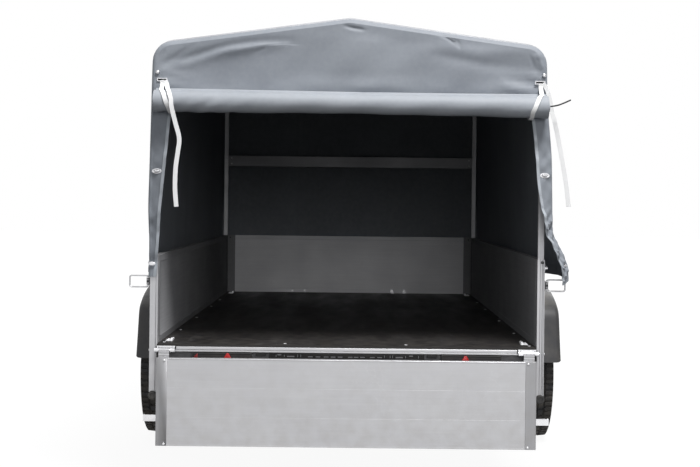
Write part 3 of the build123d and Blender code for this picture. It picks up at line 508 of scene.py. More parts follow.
def dome(name: str, at: Sequence[float], normal: Sequence[float], radius: float,
         height: float) -> Obj:
    """A domed rivet or button head on a surface.

    Args:
        name: The piece's name.
        at: The middle of its foot.
        normal: The way it stands out.
        radius: Its radius.
        height: How far it stands out.

    Returns:
        The head, smooth.
    """
    foot, out = Vector(at), Vector(normal).normalized()
    obj = drum(name, foot - out * height * 0.3, foot + out * height * 0.4, radius, 16)
    with editing(obj):
        pick_faces(obj, lambda c, n: n.dot(out) > ALONG)
        bpy.ops.mesh.inset(thickness=radius * 0.3, depth=height * 0.45)
        bpy.ops.mesh.inset(thickness=radius * 0.35, depth=height * 0.15)
    return smooth(obj, math.radians(60))


def hexagon(name: str, at: Sequence[float], normal: Sequence[float], radius: float,
            height: float) -> Obj:
    """A hexagon bolt head on its washer.

    Args:
        name: The piece's name.
        at: The middle of its foot.
        normal: The way it stands out.
        radius: Radius over the head's corners.
        height: How far it stands out, washer included.

    Returns:
        The head and washer in one object.
    """
    foot, out = Vector(at), Vector(normal).normalized()
    plate = foot + out * height * 0.22
    washer = drum(f"{name}-washer", foot - out * height * 0.2, plate, radius * 1.45, 24)
    head = drum(f"{name}-head", plate, foot + out * height, radius, 6)
    with editing(head):
        pick_faces(head, lambda c, n: n.dot(out) > ALONG)
        bpy.ops.mesh.inset(thickness=radius * 0.18, depth=height * 0.08)
    return rounded(joined(name, [washer, head]), radius * 0.05, 2, 40.0)


def wire(name: str, points: Sequence[Point], radius: float, sides: int = 12) -> Obj:
    """Makes a bent rod along a smooth line through points.

    Args:
        name: The piece's name.
        points: What its middle line goes through.
        radius: The rod's radius.
        sides: Number of flats round it.

    Returns:
        The closed rod.
    """
    line = curved_through(points, len(points) * 5)
    forward = np.gradient(line, axis=0)
    rod = drum(name, line[0], line[0] + forward[0] * 0.01, radius, sides)
    start, way = Vector(line[0]), Vector(forward[0]).normalized()
    before = way
    with editing(rod):
        for place, step in zip(line[1:], forward[1:]):
            bpy.ops.mesh.select_all(action="DESELECT")
            ahead = Vector(step).normalized()
            pick_faces(rod, lambda c, n: n.dot(before) > 0.94 and (c - start).length < radius * 1.2)
            turn = before.rotation_difference(ahead).to_matrix()
            goal = Vector(place)
            extrude(goal - start)
            mesh = bmesh.from_edit_mesh(rod.data)
            for vertex in (v for v in mesh.verts if v.select):
                vertex.co = goal + turn @ (vertex.co - goal)
            bmesh.update_edit_mesh(rod.data)
            start, before = goal, ahead
    return smooth(tidy(rod))


# --- Finishes ---------------------------------------------------------------------------------
def display(red: int, green: int, blue: int) -> Rgb:
    """A linear colour from display values of 0 to 255."""
    low = [value / 255 for value in (red, green, blue)]
    return tuple(v / 12.92 if v <= 0.04045 else ((v + 0.055) / 1.055) ** 2.4 for v in low)


class Wires:
    """Adds nodes to one node tree and joins them."""

    def __init__(self, tree: bpy.types.NodeTree) -> None:
        """Starts on a tree with nothing in it."""
        self.tree = tree
        tree.nodes.clear()

    def add(self, kind: str, into: dict | None = None, **settings: object) -> bpy.types.Node:
        """Adds a node.

        Args:
            kind: The node's type, without its ShaderNode prefix.
            into: For each input, by name or number, a socket to link or a plain value.
            settings: The node's own properties.

        Returns:
            The node.
        """
        node = self.tree.nodes.new(kind if kind.startswith("NodeGroup") else f"ShaderNode{kind}")
        for key, value in settings.items():
            setattr(node, key, value)
        for key, value in (into or {}).items():
            if isinstance(value, Socket):
                self.tree.links.new(value, node.inputs[key])
            else:
                node.inputs[key].default_value = value
        return node

    def math(self, operation: str, first: object, second: object = 0.0) -> Socket:
        """Puts two values through a Math node and returns the result."""
        return self.add("Math", {0: first, 1: second}, operation=operation).outputs[0]

    def times(self, first: object, second: object) -> Socket:
        """The product of two values."""
        return self.math("MULTIPLY", first, second)

    def plus(self, first: object, second: object) -> Socket:
        """The sum of two values."""
        return self.math("ADD", first, second)

    def vector(self, operation: str, first: object, second: object) -> Socket:
        """Puts a vector and a vector or scale through a Vector Math node and returns the result."""
        key = "Scale" if operation == "SCALE" else 1
        return self.add("VectorMath", {0: first, key: second}, operation=operation).outputs[0]

    def blend(self, share: object, first: object, second: object) -> Socket:
        """Mixes two colours by a share and returns the result."""
        ends = [(*end, 1.0) if isinstance(end, tuple) else end for end in (first, second)]
        return self.add("Mix", {0: share, 6: ends[0], 7: ends[1]}, data_type="RGBA").outputs[2]

    def spread(self, value: object, low: object, high: object, to_low: float = 0.0,
               to_high: float = 1.0) -> Socket:
        """Stretches one range of values onto another.

        Args:
            value: The value.
            low: Where the first range begins.
            high: Where it ends.
            to_low: What low becomes, and all below it.
            to_high: What high becomes, and all above it.

        Returns:
            The new value.
        """
        ends = {"Value": value, "From Min": low, "From Max": high, "To Min": to_low,
                "To Max": to_high}
        return self.add("MapRange", ends).outputs[0]

    def noise(self, place: object, scale: object, detail: float = 4.0) -> Socket:
        """Cloudy noise of a scale at a place."""
        return self.add("TexNoise", {"Vector": place, "Scale": scale, "Detail": detail}).outputs[0]

    def place(self) -> Socket:
        """The place on the object."""
        return self.add("TexCoord").outputs["Object"]

    def parts(self, vector: object) -> Sockets:
        """A vector's three values."""
        return self.add("SeparateXYZ", {0: vector}).outputs

    def bump(self, height: object, depth: float, strength: float = 0.5) -> Socket:
        """The normal of a height, which is depth metres where it is 1."""
        into = {"Height": height, "Distance": depth, "Strength": strength}
        return self.add("Bump", into).outputs[0]


@dataclass
class Effect:
    """A shader node group that several finishes share, built at its first use."""

    name: str
    inputs: dict[str, object]
    outputs: dict[str, str]
    fill: Callable[[Wires, Sockets], dict]
    tree: bpy.types.NodeTree | None = None

    def build(self) -> bpy.types.NodeTree:
        """Builds the group, with an input of the right kind for each usual value.

        Returns:
            The group's node tree.
        """
        tree = bpy.data.node_groups.new(self.name, "ShaderNodeTree")
        wires = Wires(tree)
        for key, usual in self.inputs.items():
            count = len(usual) if isinstance(usual, tuple) else 1
            kind = {1: "NodeSocketFloat", 3: "NodeSocketVector", 4: "NodeSocketColor"}[count]
            socket = tree.interface.new_socket(name=key, in_out="INPUT", socket_type=kind)
            socket.default_value = usual
        for key, kind in self.outputs.items():
            tree.interface.new_socket(name=key, in_out="OUTPUT", socket_type=kind)
        start = wires.add("NodeGroupInput").outputs
        wires.add("NodeGroupOutput", self.fill(wires, start))
        return tree

    def on(self, wires: Wires, **values: object) -> Sockets:
        """Places the group among a material's nodes.

        Args:
            wires: The material's node tree.
            values: For each input, a socket to link or a plain value.

        Returns:
            The group's outputs.
        """
        if self.tree is None:
            self.tree = self.build()
        return wires.add("Group", values, node_tree=self.tree).outputs


def fill_mottle(wires: Wires, start: Sockets) -> dict:
    """Noise on stretched places, cut to a range.

    Args:
        wires: The group's node tree.
        start: The noise's scale, how far it is drawn out each way, and the range.

    Returns:
        The noise's mask.
    """
    drawn = wires.vector("MULTIPLY", wires.place(), start["Stretch"])
    cloud = wires.noise(drawn, start["Scale"], 5.0)
    return {"Mask": wires.spread(cloud, start["Low"], start["High"])}


def fill_dust(wires: Wires, start: Sockets) -> dict:
    """Dust in a colour: settled on upward faces and thrown up from below, broken up by noise.

    Args:
        wires: The group's node tree.
        start: The colour below the dust, the dust's own and its amount.

    Returns:
        The dusty colour and the dust's mask.
    """
    place = wires.place()
    settled = wires.spread(wires.parts(wires.add("NewGeometry").outputs["Normal"])[2], 0.2, 0.95)
    thrown = wires.spread(wires.parts(place)[2], 0.1, 0.6, 1.0, 0.0)
    cloud = wires.spread(wires.noise(place, 26.0, 8.0), 0.38, 0.68)
    mask = wires.times(wires.math("MAXIMUM", settled, thrown), cloud)
    mask = wires.times(mask, start["Amount"])
    return {"Colour": wires.blend(mask, start["Colour"], start["Dust"]), "Mask": mask}


def fill_weave(wires: Wires, start: Sockets) -> dict:
    """Half-round threads both ways, in a checker of which is on top.

    Args:
        wires: The group's node tree.
        start: A place on the cloth, and how many threads a metre has.

    Returns:
        The threads' height.
    """
    scaled = wires.vector("SCALE", start["Place"], start["Threads"])
    parts = wires.parts(scaled)
    across, along = (wires.math("ABSOLUTE", wires.math("SINE", wires.times(parts[k], math.pi)))
                     for k in (0, 1))
    check = wires.add("TexChecker", {"Vector": scaled, "Scale": 1.0}).outputs["Fac"]
    second = wires.times(along, wires.math("SUBTRACT", 1.0, check))
    return {"Height": wires.plus(wires.times(across, check), second)}


def fill_scuffs(wires: Wires, start: Sockets) -> dict:
    """Thin scratches where a wider noise lets them show.

    Args:
        wires: The group's node tree.
        start: The scratches' scale, how far they are drawn out each way, and their amount.

    Returns:
        The scratches' mask.
    """
    place = wires.place()
    fine = wires.noise(wires.vector("MULTIPLY", place, start["Stretch"]), start["Scale"], 3.0)
    off_middle = wires.math("ABSOLUTE", wires.math("SUBTRACT", fine, 0.5))
    line = wires.spread(off_middle, 0.0, 0.022, 1.0, 0.0)
    spots = wires.spread(wires.noise(place, 5.0, 3.0), 0.5, 0.66)
    return {"Mask": wires.times(wires.times(line, spots), start["Amount"])}


def fill_crystals(wires: Wires, start: Sockets) -> dict:
    """One random value for each zinc crystal."""
    cells = wires.add("TexVoronoi", {"Vector": wires.place(), "Scale": start["Scale"]})
    return {"Value": wires.add("SeparateColor", {0: cells.outputs["Color"]}).outputs[0]}


EVEN = (1.0, 1.0, 1.0)
VALUE = "NodeSocketFloat"
MOTTLE = Effect("Mottle", {"Scale": 8.0, "Stretch": EVEN, "Low": 0.3, "High": 0.7},
                {"Mask": VALUE}, fill_mottle)
DUST = Effect("Road dust", {"Colour": (0.5, 0.5, 0.5, 1.0), "Dust": (0.30, 0.27, 0.23, 1.0),
                            "Amount": 0.3}, {"Colour": "NodeSocketColor", "Mask": VALUE}, fill_dust)
WEAVE = Effect("Plain weave", {"Place": (0.0, 0.0, 0.0), "Threads": 900.0}, {"Height": VALUE},
               fill_weave)
SCUFFS = Effect("Scuffs", {"Scale": 24.0, "Stretch": EVEN, "Amount": 0.6}, {"Mask": VALUE},
                fill_scuffs)
CRYSTALS = Effect("Zinc crystals", {"Scale": 90.0}, {"Value": VALUE}, fill_crystals)


@dataclass(frozen=True)
class Finish:
    """What every finish has: its name, the record's slot, and its lighter and darker colours."""

    name: str
    slot: str
    light: Rgb
    dark: Rgb

    def fill(self, wires: Wires) -> dict:
        """What the Principled shader takes, which each kind of finish works out for itself."""
        raise NotImplementedError

    def make(self) -> bpy.types.Material:
        """Makes the finish's material.

        Returns:
            The material.
        """
        material = bpy.data.materials.new(self.name)
        material.use_nodes = True
        wires = Wires(material.node_tree)
        shader = wires.add("BsdfPrincipled", self.fill(wires))
        wires.add("OutputMaterial", {"Surface": shader.outputs[0]})
        return material


@dataclass(frozen=True)
class Surface(Finish):
    """Metal, paint, rubber or moulded plastic, with fine grain, scratches and road dust."""

    metallic: float = 0.0
    roughness: Flat = (0.4, 0.6)
    grain: Point = EVEN
    grain_scale: float = 900.0
    grain_depth: float = 0.0001
    crystals: float = 0.0
    dust: float = 0.2
    scuffs: float = 0.2

    def fill(self, wires: Wires) -> dict:
        """Two scales of noise, then crystals, scratches and dust.

        Args:
            wires: The material's node tree.

        Returns:
            What the Principled shader takes, by input.
        """
        cloud = MOTTLE.on(wires, Scale=7.0)[0]
        grain = MOTTLE.on(wires, Scale=self.grain_scale, Stretch=self.grain, Low=0.25, High=0.75)[0]
        tone = wires.plus(wires.times(cloud, 0.55), wires.times(grain, 0.45))
        if self.crystals:
            share = wires.times(CRYSTALS.on(wires)[0], self.crystals)
            tone = wires.plus(wires.times(tone, 1.0 - self.crystals), share)
        scuff = SCUFFS.on(wires, Amount=self.scuffs)[0]
        bright = tuple(min(1.0, value * 1.25) for value in self.light)
        colour = wires.blend(scuff, wires.blend(tone, self.dark, self.light), bright)
        dusty = DUST.on(wires, Colour=colour, Amount=self.dust)
        rough = wires.spread(tone, 0.0, 1.0, self.roughness[1], self.roughness[0])
        metallic = self.metallic and wires.spread(dusty[1], 0.0, 1.0, self.metallic,
                                                  self.metallic * 0.2)
        return {"Base Color": dusty[0], "Metallic": metallic,
                "Normal": wires.bump(grain, self.grain_depth),
                "Roughness": wires.plus(rough, wires.times(dusty[1], 0.3))}


@dataclass(frozen=True)
class Lens(Finish):
    """A coloured lamp lens with prisms on its inner face."""

    pitch: float = 260.0

    def fill(self, wires: Wires) -> dict:
        """Prisms as waves both ways, under a clear coat.

        Args:
            wires: The material's node tree.

        Returns:
            What the Principled shader takes, by input.
        """
        parts = wires.parts(wires.place())
        across, upward = (wires.math("SINE", wires.times(parts[k], self.pitch * math.tau))
                          for k in (0, 2))
        prism = wires.spread(wires.times(across, upward), -0.6, 0.6)
        dusty = DUST.on(wires, Colour=wires.blend(prism, self.dark, self.light), Amount=0.15)
        rough = wires.spread(MOTTLE.on(wires, Scale=20.0)[0], 0.0, 1.0, 0.1, 0.24)
        return {"Base Color": dusty[0], "Roughness": rough, "Coat Weight": 0.15,
                "Coat Roughness": 0.1, "Normal": wires.bump(prism, 0.0004, 0.4)}


@dataclass(frozen=True)
class Cloth(Finish):
    """Coated or woven cloth on its own UV map, in metres; webbing has ribs, so many in a metre,
    with painted shade in their valleys.
    """

    threads: float = 700.0
    depth: float = 0.00018
    roughness: Flat = (0.5, 0.62)
    dust: float = 0.12
    ribs: float = 0.0

    def fill(self, wires: Wires) -> dict:
        """A weave under two scales of fading.

        Args:
            wires: The material's node tree.

        Returns:
            What the Principled shader takes, by input.
        """
        place = wires.add("UVMap", uv_map="UVMap").outputs[0]
        height = WEAVE.on(wires, Place=place, Threads=self.threads)[0]
        cloud, fine = (wires.times(MOTTLE.on(wires, Scale=scale)[0], share)
                       for scale, share in ((3.0, 0.6), (60.0, 0.4)))
        tone = wires.plus(cloud, fine)
        colour = wires.blend(tone, self.dark, self.light)
        if self.ribs:
            wave = wires.times(wires.parts(place)[0], self.ribs * math.tau)
            rib = wires.spread(wires.math("SINE", wave), -1.0, 1.0)
            height = wires.plus(wires.times(height, 0.3), rib)
            # Painted shade: the webbing is darker in the valleys between its ribs.
            valley = wires.times(wires.math("SUBTRACT", 1.0, rib), 0.5)
            colour = wires.blend(valley, colour, self.dark)
        dusty = DUST.on(wires, Colour=colour, Amount=self.dust)
        rough = wires.spread(tone, 0.0, 1.0, *self.roughness)
        return {"Base Color": dusty[0], "Roughness": rough,
                "Normal": wires.bump(height, self.depth), "Specular IOR Level": 0.4}


@dataclass(frozen=True)
class FilmPly(Finish):
    """Film-faced plywood: a mesh printed in its face, and layers of wood in its sealed edge."""

    lines: float = 620.0
    layer: float = 0.0015
    base: float = 0.494

    def fill(self, wires: Wires) -> dict:
        """The worn and printed face, then the edge where the surface is upright.

        Args:
            wires: The material's node tree.

        Returns:
            What the Principled shader takes, by input.
        """
        parts = wires.parts(wires.place())
        upward = wires.parts(wires.add("NewGeometry").outputs["Normal"])[2]
        edge = wires.spread(wires.math("ABSOLUTE", upward), 0.5, 0.6, 1.0, 0.0)
        slants = (wires.math(way, parts[0], parts[1]) for way in ("ADD", "SUBTRACT"))
        first, second = (wires.math("SINE", wires.times(slant, self.lines)) for slant in slants)
        mesh = wires.spread(wires.math("MAXIMUM", first, second), 0.82, 0.97)
        worn = MOTTLE.on(wires, Scale=5.0, Stretch=(2.0, 0.4, 1.0))[0]
        scuff = SCUFFS.on(wires, Scale=14.0, Stretch=(1.0, 0.15, 1.0), Amount=0.35)[0]
        film = wires.blend(wires.times(mesh, 0.6), self.light, self.dark)
        rubbed = tuple(value * 1.4 for value in self.light)
        film = wires.blend(wires.times(worn, 0.45), film, rubbed)
        film = wires.blend(scuff, film, display(92, 92, 93))
        film = DUST.on(wires, Colour=film, Amount=0.1)[0]
        count = wires.math("DIVIDE", wires.math("SUBTRACT", parts[2], self.base), self.layer)
        ply = wires.math("PINGPONG", count, 1.0)
        wood = wires.blend(ply, display(22, 20, 19), display(34, 31, 29))
        rough = wires.spread(wires.plus(worn, edge), 0.0, 1.2, 0.42, 0.75)
        height = wires.times(mesh, wires.math("SUBTRACT", 1.0, edge))
        return {"Base Color": wires.blend(edge, film, wood), "Roughness": rough,
                "Normal": wires.bump(height, 0.0003, 0.6)}


class Paints:
    """Every finish on the trailer, built once."""

    def __init__(self) -> None:
        """Builds the materials."""
        upright, long_x, long_y = (1.0, 1.0, 0.03), (0.03, 1.0, 1.0), (1.0, 0.03, 1.0)

        def grey(name: str, slot: str, light: int, dark: int, *more: object) -> Surface:
            """A nearly neutral surface from two display values."""
            return Surface(name, slot, display(light, light, light + 2),
                           display(dark, dark, dark + 3), *more)

        finishes = [
            *(grey(name, "aluminium", light, dark, metallic, rough, grain, 160.0)
              for name, light, dark, metallic, rough, grain in (
                  ("Brushed aluminium post", 190, 170, 0.6, (0.36, 0.5), upright),
                  ("Aluminium board", 194, 186, 0.5, (0.38, 0.5), long_x),
                  ("Sill aluminium", 192, 174, 0.6, (0.3, 0.42), long_x),
                  # The boards' aluminium painted darker than the tailgate's, as painted shade
                  # inside the box.
                  ("Inner board", 146, 128, 0.1, (0.68, 0.8), long_y),
                  ("Front board aluminium", 204, 190, 0.3, (0.5, 0.62), long_x),
                  ("End profile aluminium", 165, 150, 0.5, (0.4, 0.52), upright),
                  ("Cover rail aluminium", 126, 112, 0.4, (0.4, 0.52), long_x))),
            *(grey(name, "zinc_plated_steel", light, dark, metallic, rough, EVEN, 80.0)
              for name, light, dark, metallic, rough in (
                  ("Ring zinc", 255, 240, 0.25, (0.25, 0.4)),
                  ("Bright zinc", 240, 205, 0.8, (0.22, 0.36)),
                  ("Zinc-plated steel", 205, 160, 0.85, (0.25, 0.42)),
                  ("Dark steel", 84, 52, 0.6, (0.4, 0.55)))),
            grey("Hot-dip galvanised steel", "galvanised_steel", 190, 134, 0.62, (0.38, 0.6), EVEN,
                 50.0, 0.0002, 0.55, 0.3),
            grey("Cover frame steel", "frame_steel", 196, 164, 0.6, (0.4, 0.6), upright, 60.0,
                 0.0002, 0.1),
            grey("Silver wheel paint", "wheel_silver", 188, 160, 0.45, (0.3, 0.42), EVEN, 400.0,
                 0.00004, 0.0, 0.25),
            grey("Black plastic", "black_plastic", 14, 7),
            # The plate frame's black moulding painted light grey on its ribs and tabs, as painted
            # highlight.
            grey("Grey moulding", "black_plastic", 190, 150),
            grey("White plastic", "webbing", 240, 220),
            # Galvanised sheet painted darker, as painted shade for the light board under the sill.
            grey("Dull zinc sheet", "galvanised_steel", 128, 88, 0.4, (0.45, 0.6), EVEN, 50.0,
                 0.0001, 0.3),
            grey("Mudguard plastic", "black_plastic", 42, 31, 0.0, (0.42, 0.55), EVEN, 700.0),
            grey("Roller plastic", "black_plastic", 178, 150, 0.0, (0.4, 0.55), EVEN, 700.0,
                 0.00006),
            grey("Tyre rubber", "tyre_rubber", 40, 20, 0.0, (0.68, 0.85), EVEN, 500.0, 0.00015, 0.0,
                 0.4),
            grey("Cast hub", "cast_hub", 67, 43, 0.0, (0.4, 0.6), EVEN, 300.0, 0.0002, 0.0, 0.3),
            # Painted gap shade: black, for pieces put into gaps, holes and slots as painted shade.
            grey("Dark seam", "black_plastic", 14, 8, 0.0, (0.8, 0.9)),
            Lens("Red lens", "lamp_red", display(150, 2, 6), display(80, 0, 2)),
            Lens("Red reflector", "lamp_red", display(214, 0, 10), display(160, 0, 4), 420.0),
            Lens("Amber lens", "lamp_red", display(226, 116, 14), display(150, 62, 6)),
            Cloth("Tarpaulin", "tarpaulin", display(144, 149, 156), display(130, 135, 143)),
            Cloth("Tarpaulin lining", "tarpaulin", display(136, 140, 146), display(112, 116, 122),
                  700.0, 0.00018, (0.6, 0.75), 0.05),
            # The roll's cloth: the cover's tarpaulin painted lighter, as painted light on the roll.
            Cloth("Tarpaulin roll", "tarpaulin", display(164, 168, 174), display(150, 155, 162)),
            # The hems' cloth: the cover's tarpaulin painted lighter, as painted highlight on the
            # strips' edges.
            Cloth("Tarpaulin welt", "tarpaulin", display(176, 181, 187), display(160, 166, 173)),
            Cloth("Hem cord", "webbing", display(46, 46, 48), display(26, 26, 28), 2200.0, 0.0002,
                  (0.6, 0.75), 0.05),
            Cloth("Roller webbing", "webbing", display(252, 252, 252), display(240, 240, 240),
                  1600.0, 0.0003, (0.65, 0.8), 0.05, 380.0),
            FilmPly("Film-faced plywood", "plywood", display(31, 29, 29), display(15, 14, 15)),
        ]
        self.slots = {finish.name: finish.slot for finish in finishes}
        self.by_name = {finish.name: finish.make() for finish in finishes}


# --- Site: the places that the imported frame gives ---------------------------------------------
@dataclass(frozen=True)
class Site:
    """Key places of the trailer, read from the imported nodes."""

    rear: float
    front: float
    half: float
    outer: float
    floor: float
    board_top: float
    axle: Flat
    hinge: float

    @classmethod
    def measured(cls, barrel: float = 0.0075) -> Site:
        """Reads the places from the nodes' boxes.

        Args:
            barrel: Radius of the tailgate's hinge barrels.

        Returns:
            The places.
        """
        board_low, board_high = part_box("side_board_right")
        tyre_low, tyre_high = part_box("tyre_right")
        middle = (tyre_low + tyre_high) / 2
        return cls(rear=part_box("rear_posts")[0].y, front=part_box("front_board")[1].y,
                   half=board_low.x, outer=board_high.x, floor=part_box("floor_panel")[1].z,
                   board_top=board_high.z, axle=(middle.y, middle.z),
                   hinge=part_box("tailgate_hinges")[1].z - barrel)

    def y(self, ahead: float) -> float:
        """The place along Y of a distance ahead of the posts' rear face."""
        return self.rear + ahead


@dataclass
class Part:
    """What every sub-assembly has: the places it is built on and the finishes it takes."""

    site: Site
    paints: Paints

    def dress(self, obj: Obj, name: str, body: str = "chassis",
              stands_for: Sequence[str] = ()) -> None:
        """Finishes a piece: its material, its body and the nodes it stands for.

        Args:
            obj: The piece, in its final place.
            name: Its finish.
            body: The body it rides on.
            stands_for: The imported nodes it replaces.
        """
        if not obj.data.materials:
            obj.data.materials.append(self.paints.by_name[name])
        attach(obj, body)
        if stands_for:
            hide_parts(*stands_for)
        faces = len(obj.data.polygons) if obj.type == "MESH" else 0
        LOG.info("%s on %s: %d faces", obj.name, body, faces)

    def keep(self, name: str, *nodes: str) -> None:
        """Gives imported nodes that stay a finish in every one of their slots.

        Args:
            name: The finish.
            nodes: The nodes.
        """
        material = self.paints.by_name[name]
        for obj in (bpy.data.objects[node] for node in nodes):
            if not obj.material_slots:
                obj.data.materials.append(material)
            for slot in obj.material_slots:
                slot.material = material
            LOG.info("%s keeps its shape in %s", obj.name, name)


# --- Sheets and ribbons -----------------------------------------------------------------------
def eased(value: Array | float) -> Array | float:
    """A smooth step from 0 to 1."""
    kept = np.clip(value, 0.0, 1.0)
    return kept * kept * (3 - 2 * kept)


def bell(value: Array | float) -> Array | float:
    """A bell curve that is 1 at 0."""
    return np.exp(-(value ** 2))


def unit_rows(rows: Array) -> Array:
    """The rows of an array, each brought to length 1."""
    return rows / np.linalg.norm(rows, axis=1)[:, None]


def lengths_along(line: Array) -> Array:
    """The length of a line of points up to each of them."""
    return np.concatenate([[0], np.cumsum(np.linalg.norm(np.diff(line, axis=0), axis=1))])


def curved_through(points: Sequence[Sequence[float]], count: int) -> Array:
    """Even places along a smooth line through points.

    Args:
        points: What the line goes through.
        count: How many places.

    Returns:
        One row for each place, the same distance apart.
    """
    known = np.array(points, float)
    ends = np.vstack([2 * known[0] - known[1], known, 2 * known[-1] - known[-2]])
    fine = []
    for a, b, c, d in zip(ends, ends[1:], ends[2:], ends[3:]):
        for t in np.linspace(0, 1, 24, endpoint=False):
            fine.append(0.5 * (2 * b + (c - a) * t + (2 * a - 5 * b + 4 * c - d) * t ** 2
                               + (3 * b - a - 3 * c + d) * t ** 3))
    fine.append(known[-1])
    line = np.array(fine)
    run = lengths_along(line)
    places = np.linspace(0, run[-1], count)
    return np.stack([np.interp(places, run, line[:, k]) for k in range(line.shape[1])], axis=1)


def cloth_mesh(name: str, places: Array, faces: Sequence[Sequence[int]], flat: Array) -> Obj:
    """Makes a sheet from its points.

    Args:
        name: The piece's name.
        places: One row for each vertex.
        faces: The vertices of each face.
        flat: Each vertex's place on the uncreased cloth, in metres.

    Returns:
        The sheet with its UV map, in object mode.
    """
    mesh = bpy.data.meshes.new(name)
    mesh.from_pydata(places.tolist(), [], [tuple(map(int, face)) for face in faces])
    obj = bpy.data.objects.new(name, mesh)
    bpy.context.scene.collection.objects.link(obj)
    layer = mesh.uv_layers.new(name="UVMap")
    for loop in mesh.loops:
        layer.data[loop.index].uv = flat[loop.vertex_index].tolist()
    mesh.update()
    return obj


def grid_faces(rows: int, columns: int) -> list[tuple[int, int, int, int]]:
    """The faces of a grid of vertices, counted row by row."""
    corners = (r * columns + c for r in range(rows - 1) for c in range(columns - 1))
    return [(k, k + 1, k + 1 + columns, k + columns) for k in corners]


@dataclass
class Ribbon:
    """A flat strap along a smooth line."""

    name: str
    points: Sequence[Point]
    across: Sequence[Point]
    width: float = 0.0148
    thick: float = 0.0016
    steps: int = 60

    def build(self) -> tuple[Obj, float]:
        """Makes the strap.

        Returns:
            The strap and its length.
        """
        line = curved_through(self.points, self.steps)
        both = [(*point, *way) for point, way in zip(self.points, self.across)]
        wide = curved_through(both, self.steps)[:, 3:]
        run = lengths_along(line)
        forward = np.gradient(line, axis=0)
        lean = np.sum(wide * forward, axis=1) / np.sum(forward ** 2, axis=1)
        wide = unit_rows(wide - forward * lean[:, None])
        shares = np.array([-0.5, -0.44, 0.0, 0.44, 0.5]) * self.width
        places = (line[:, None, :] + wide[:, None, :] * shares[None, :, None]).reshape(-1, 3)
        flat = np.array([(s, w) for s in run for w in shares])
        obj = cloth_mesh(self.name, places, grid_faces(self.steps, len(shares)), flat)
        applied(obj, "SOLIDIFY", thickness=self.thick, offset=0.0, use_even_offset=True)
        return rounded(obj, self.thick * 0.3, 1, 50.0), float(run[-1])


# --- Cover ------------------------------------------------------------------------------------
@dataclass(frozen=True)
class Outline:
    """The cover's line across the trailer, point by point.

    Each point has its place as (x, z), its inward direction, the length up to it and how far it
    is rounded towards the end panels.
    """

    line: Array
    inward: Array
    run: Array
    bends: Array


@dataclass(frozen=True)
class Spots:
    """The cloth's vertices before any fold, and which of them are on the end panels."""

    x: Array
    ahead: Array
    z: Array
    rear: Array
    front: Array


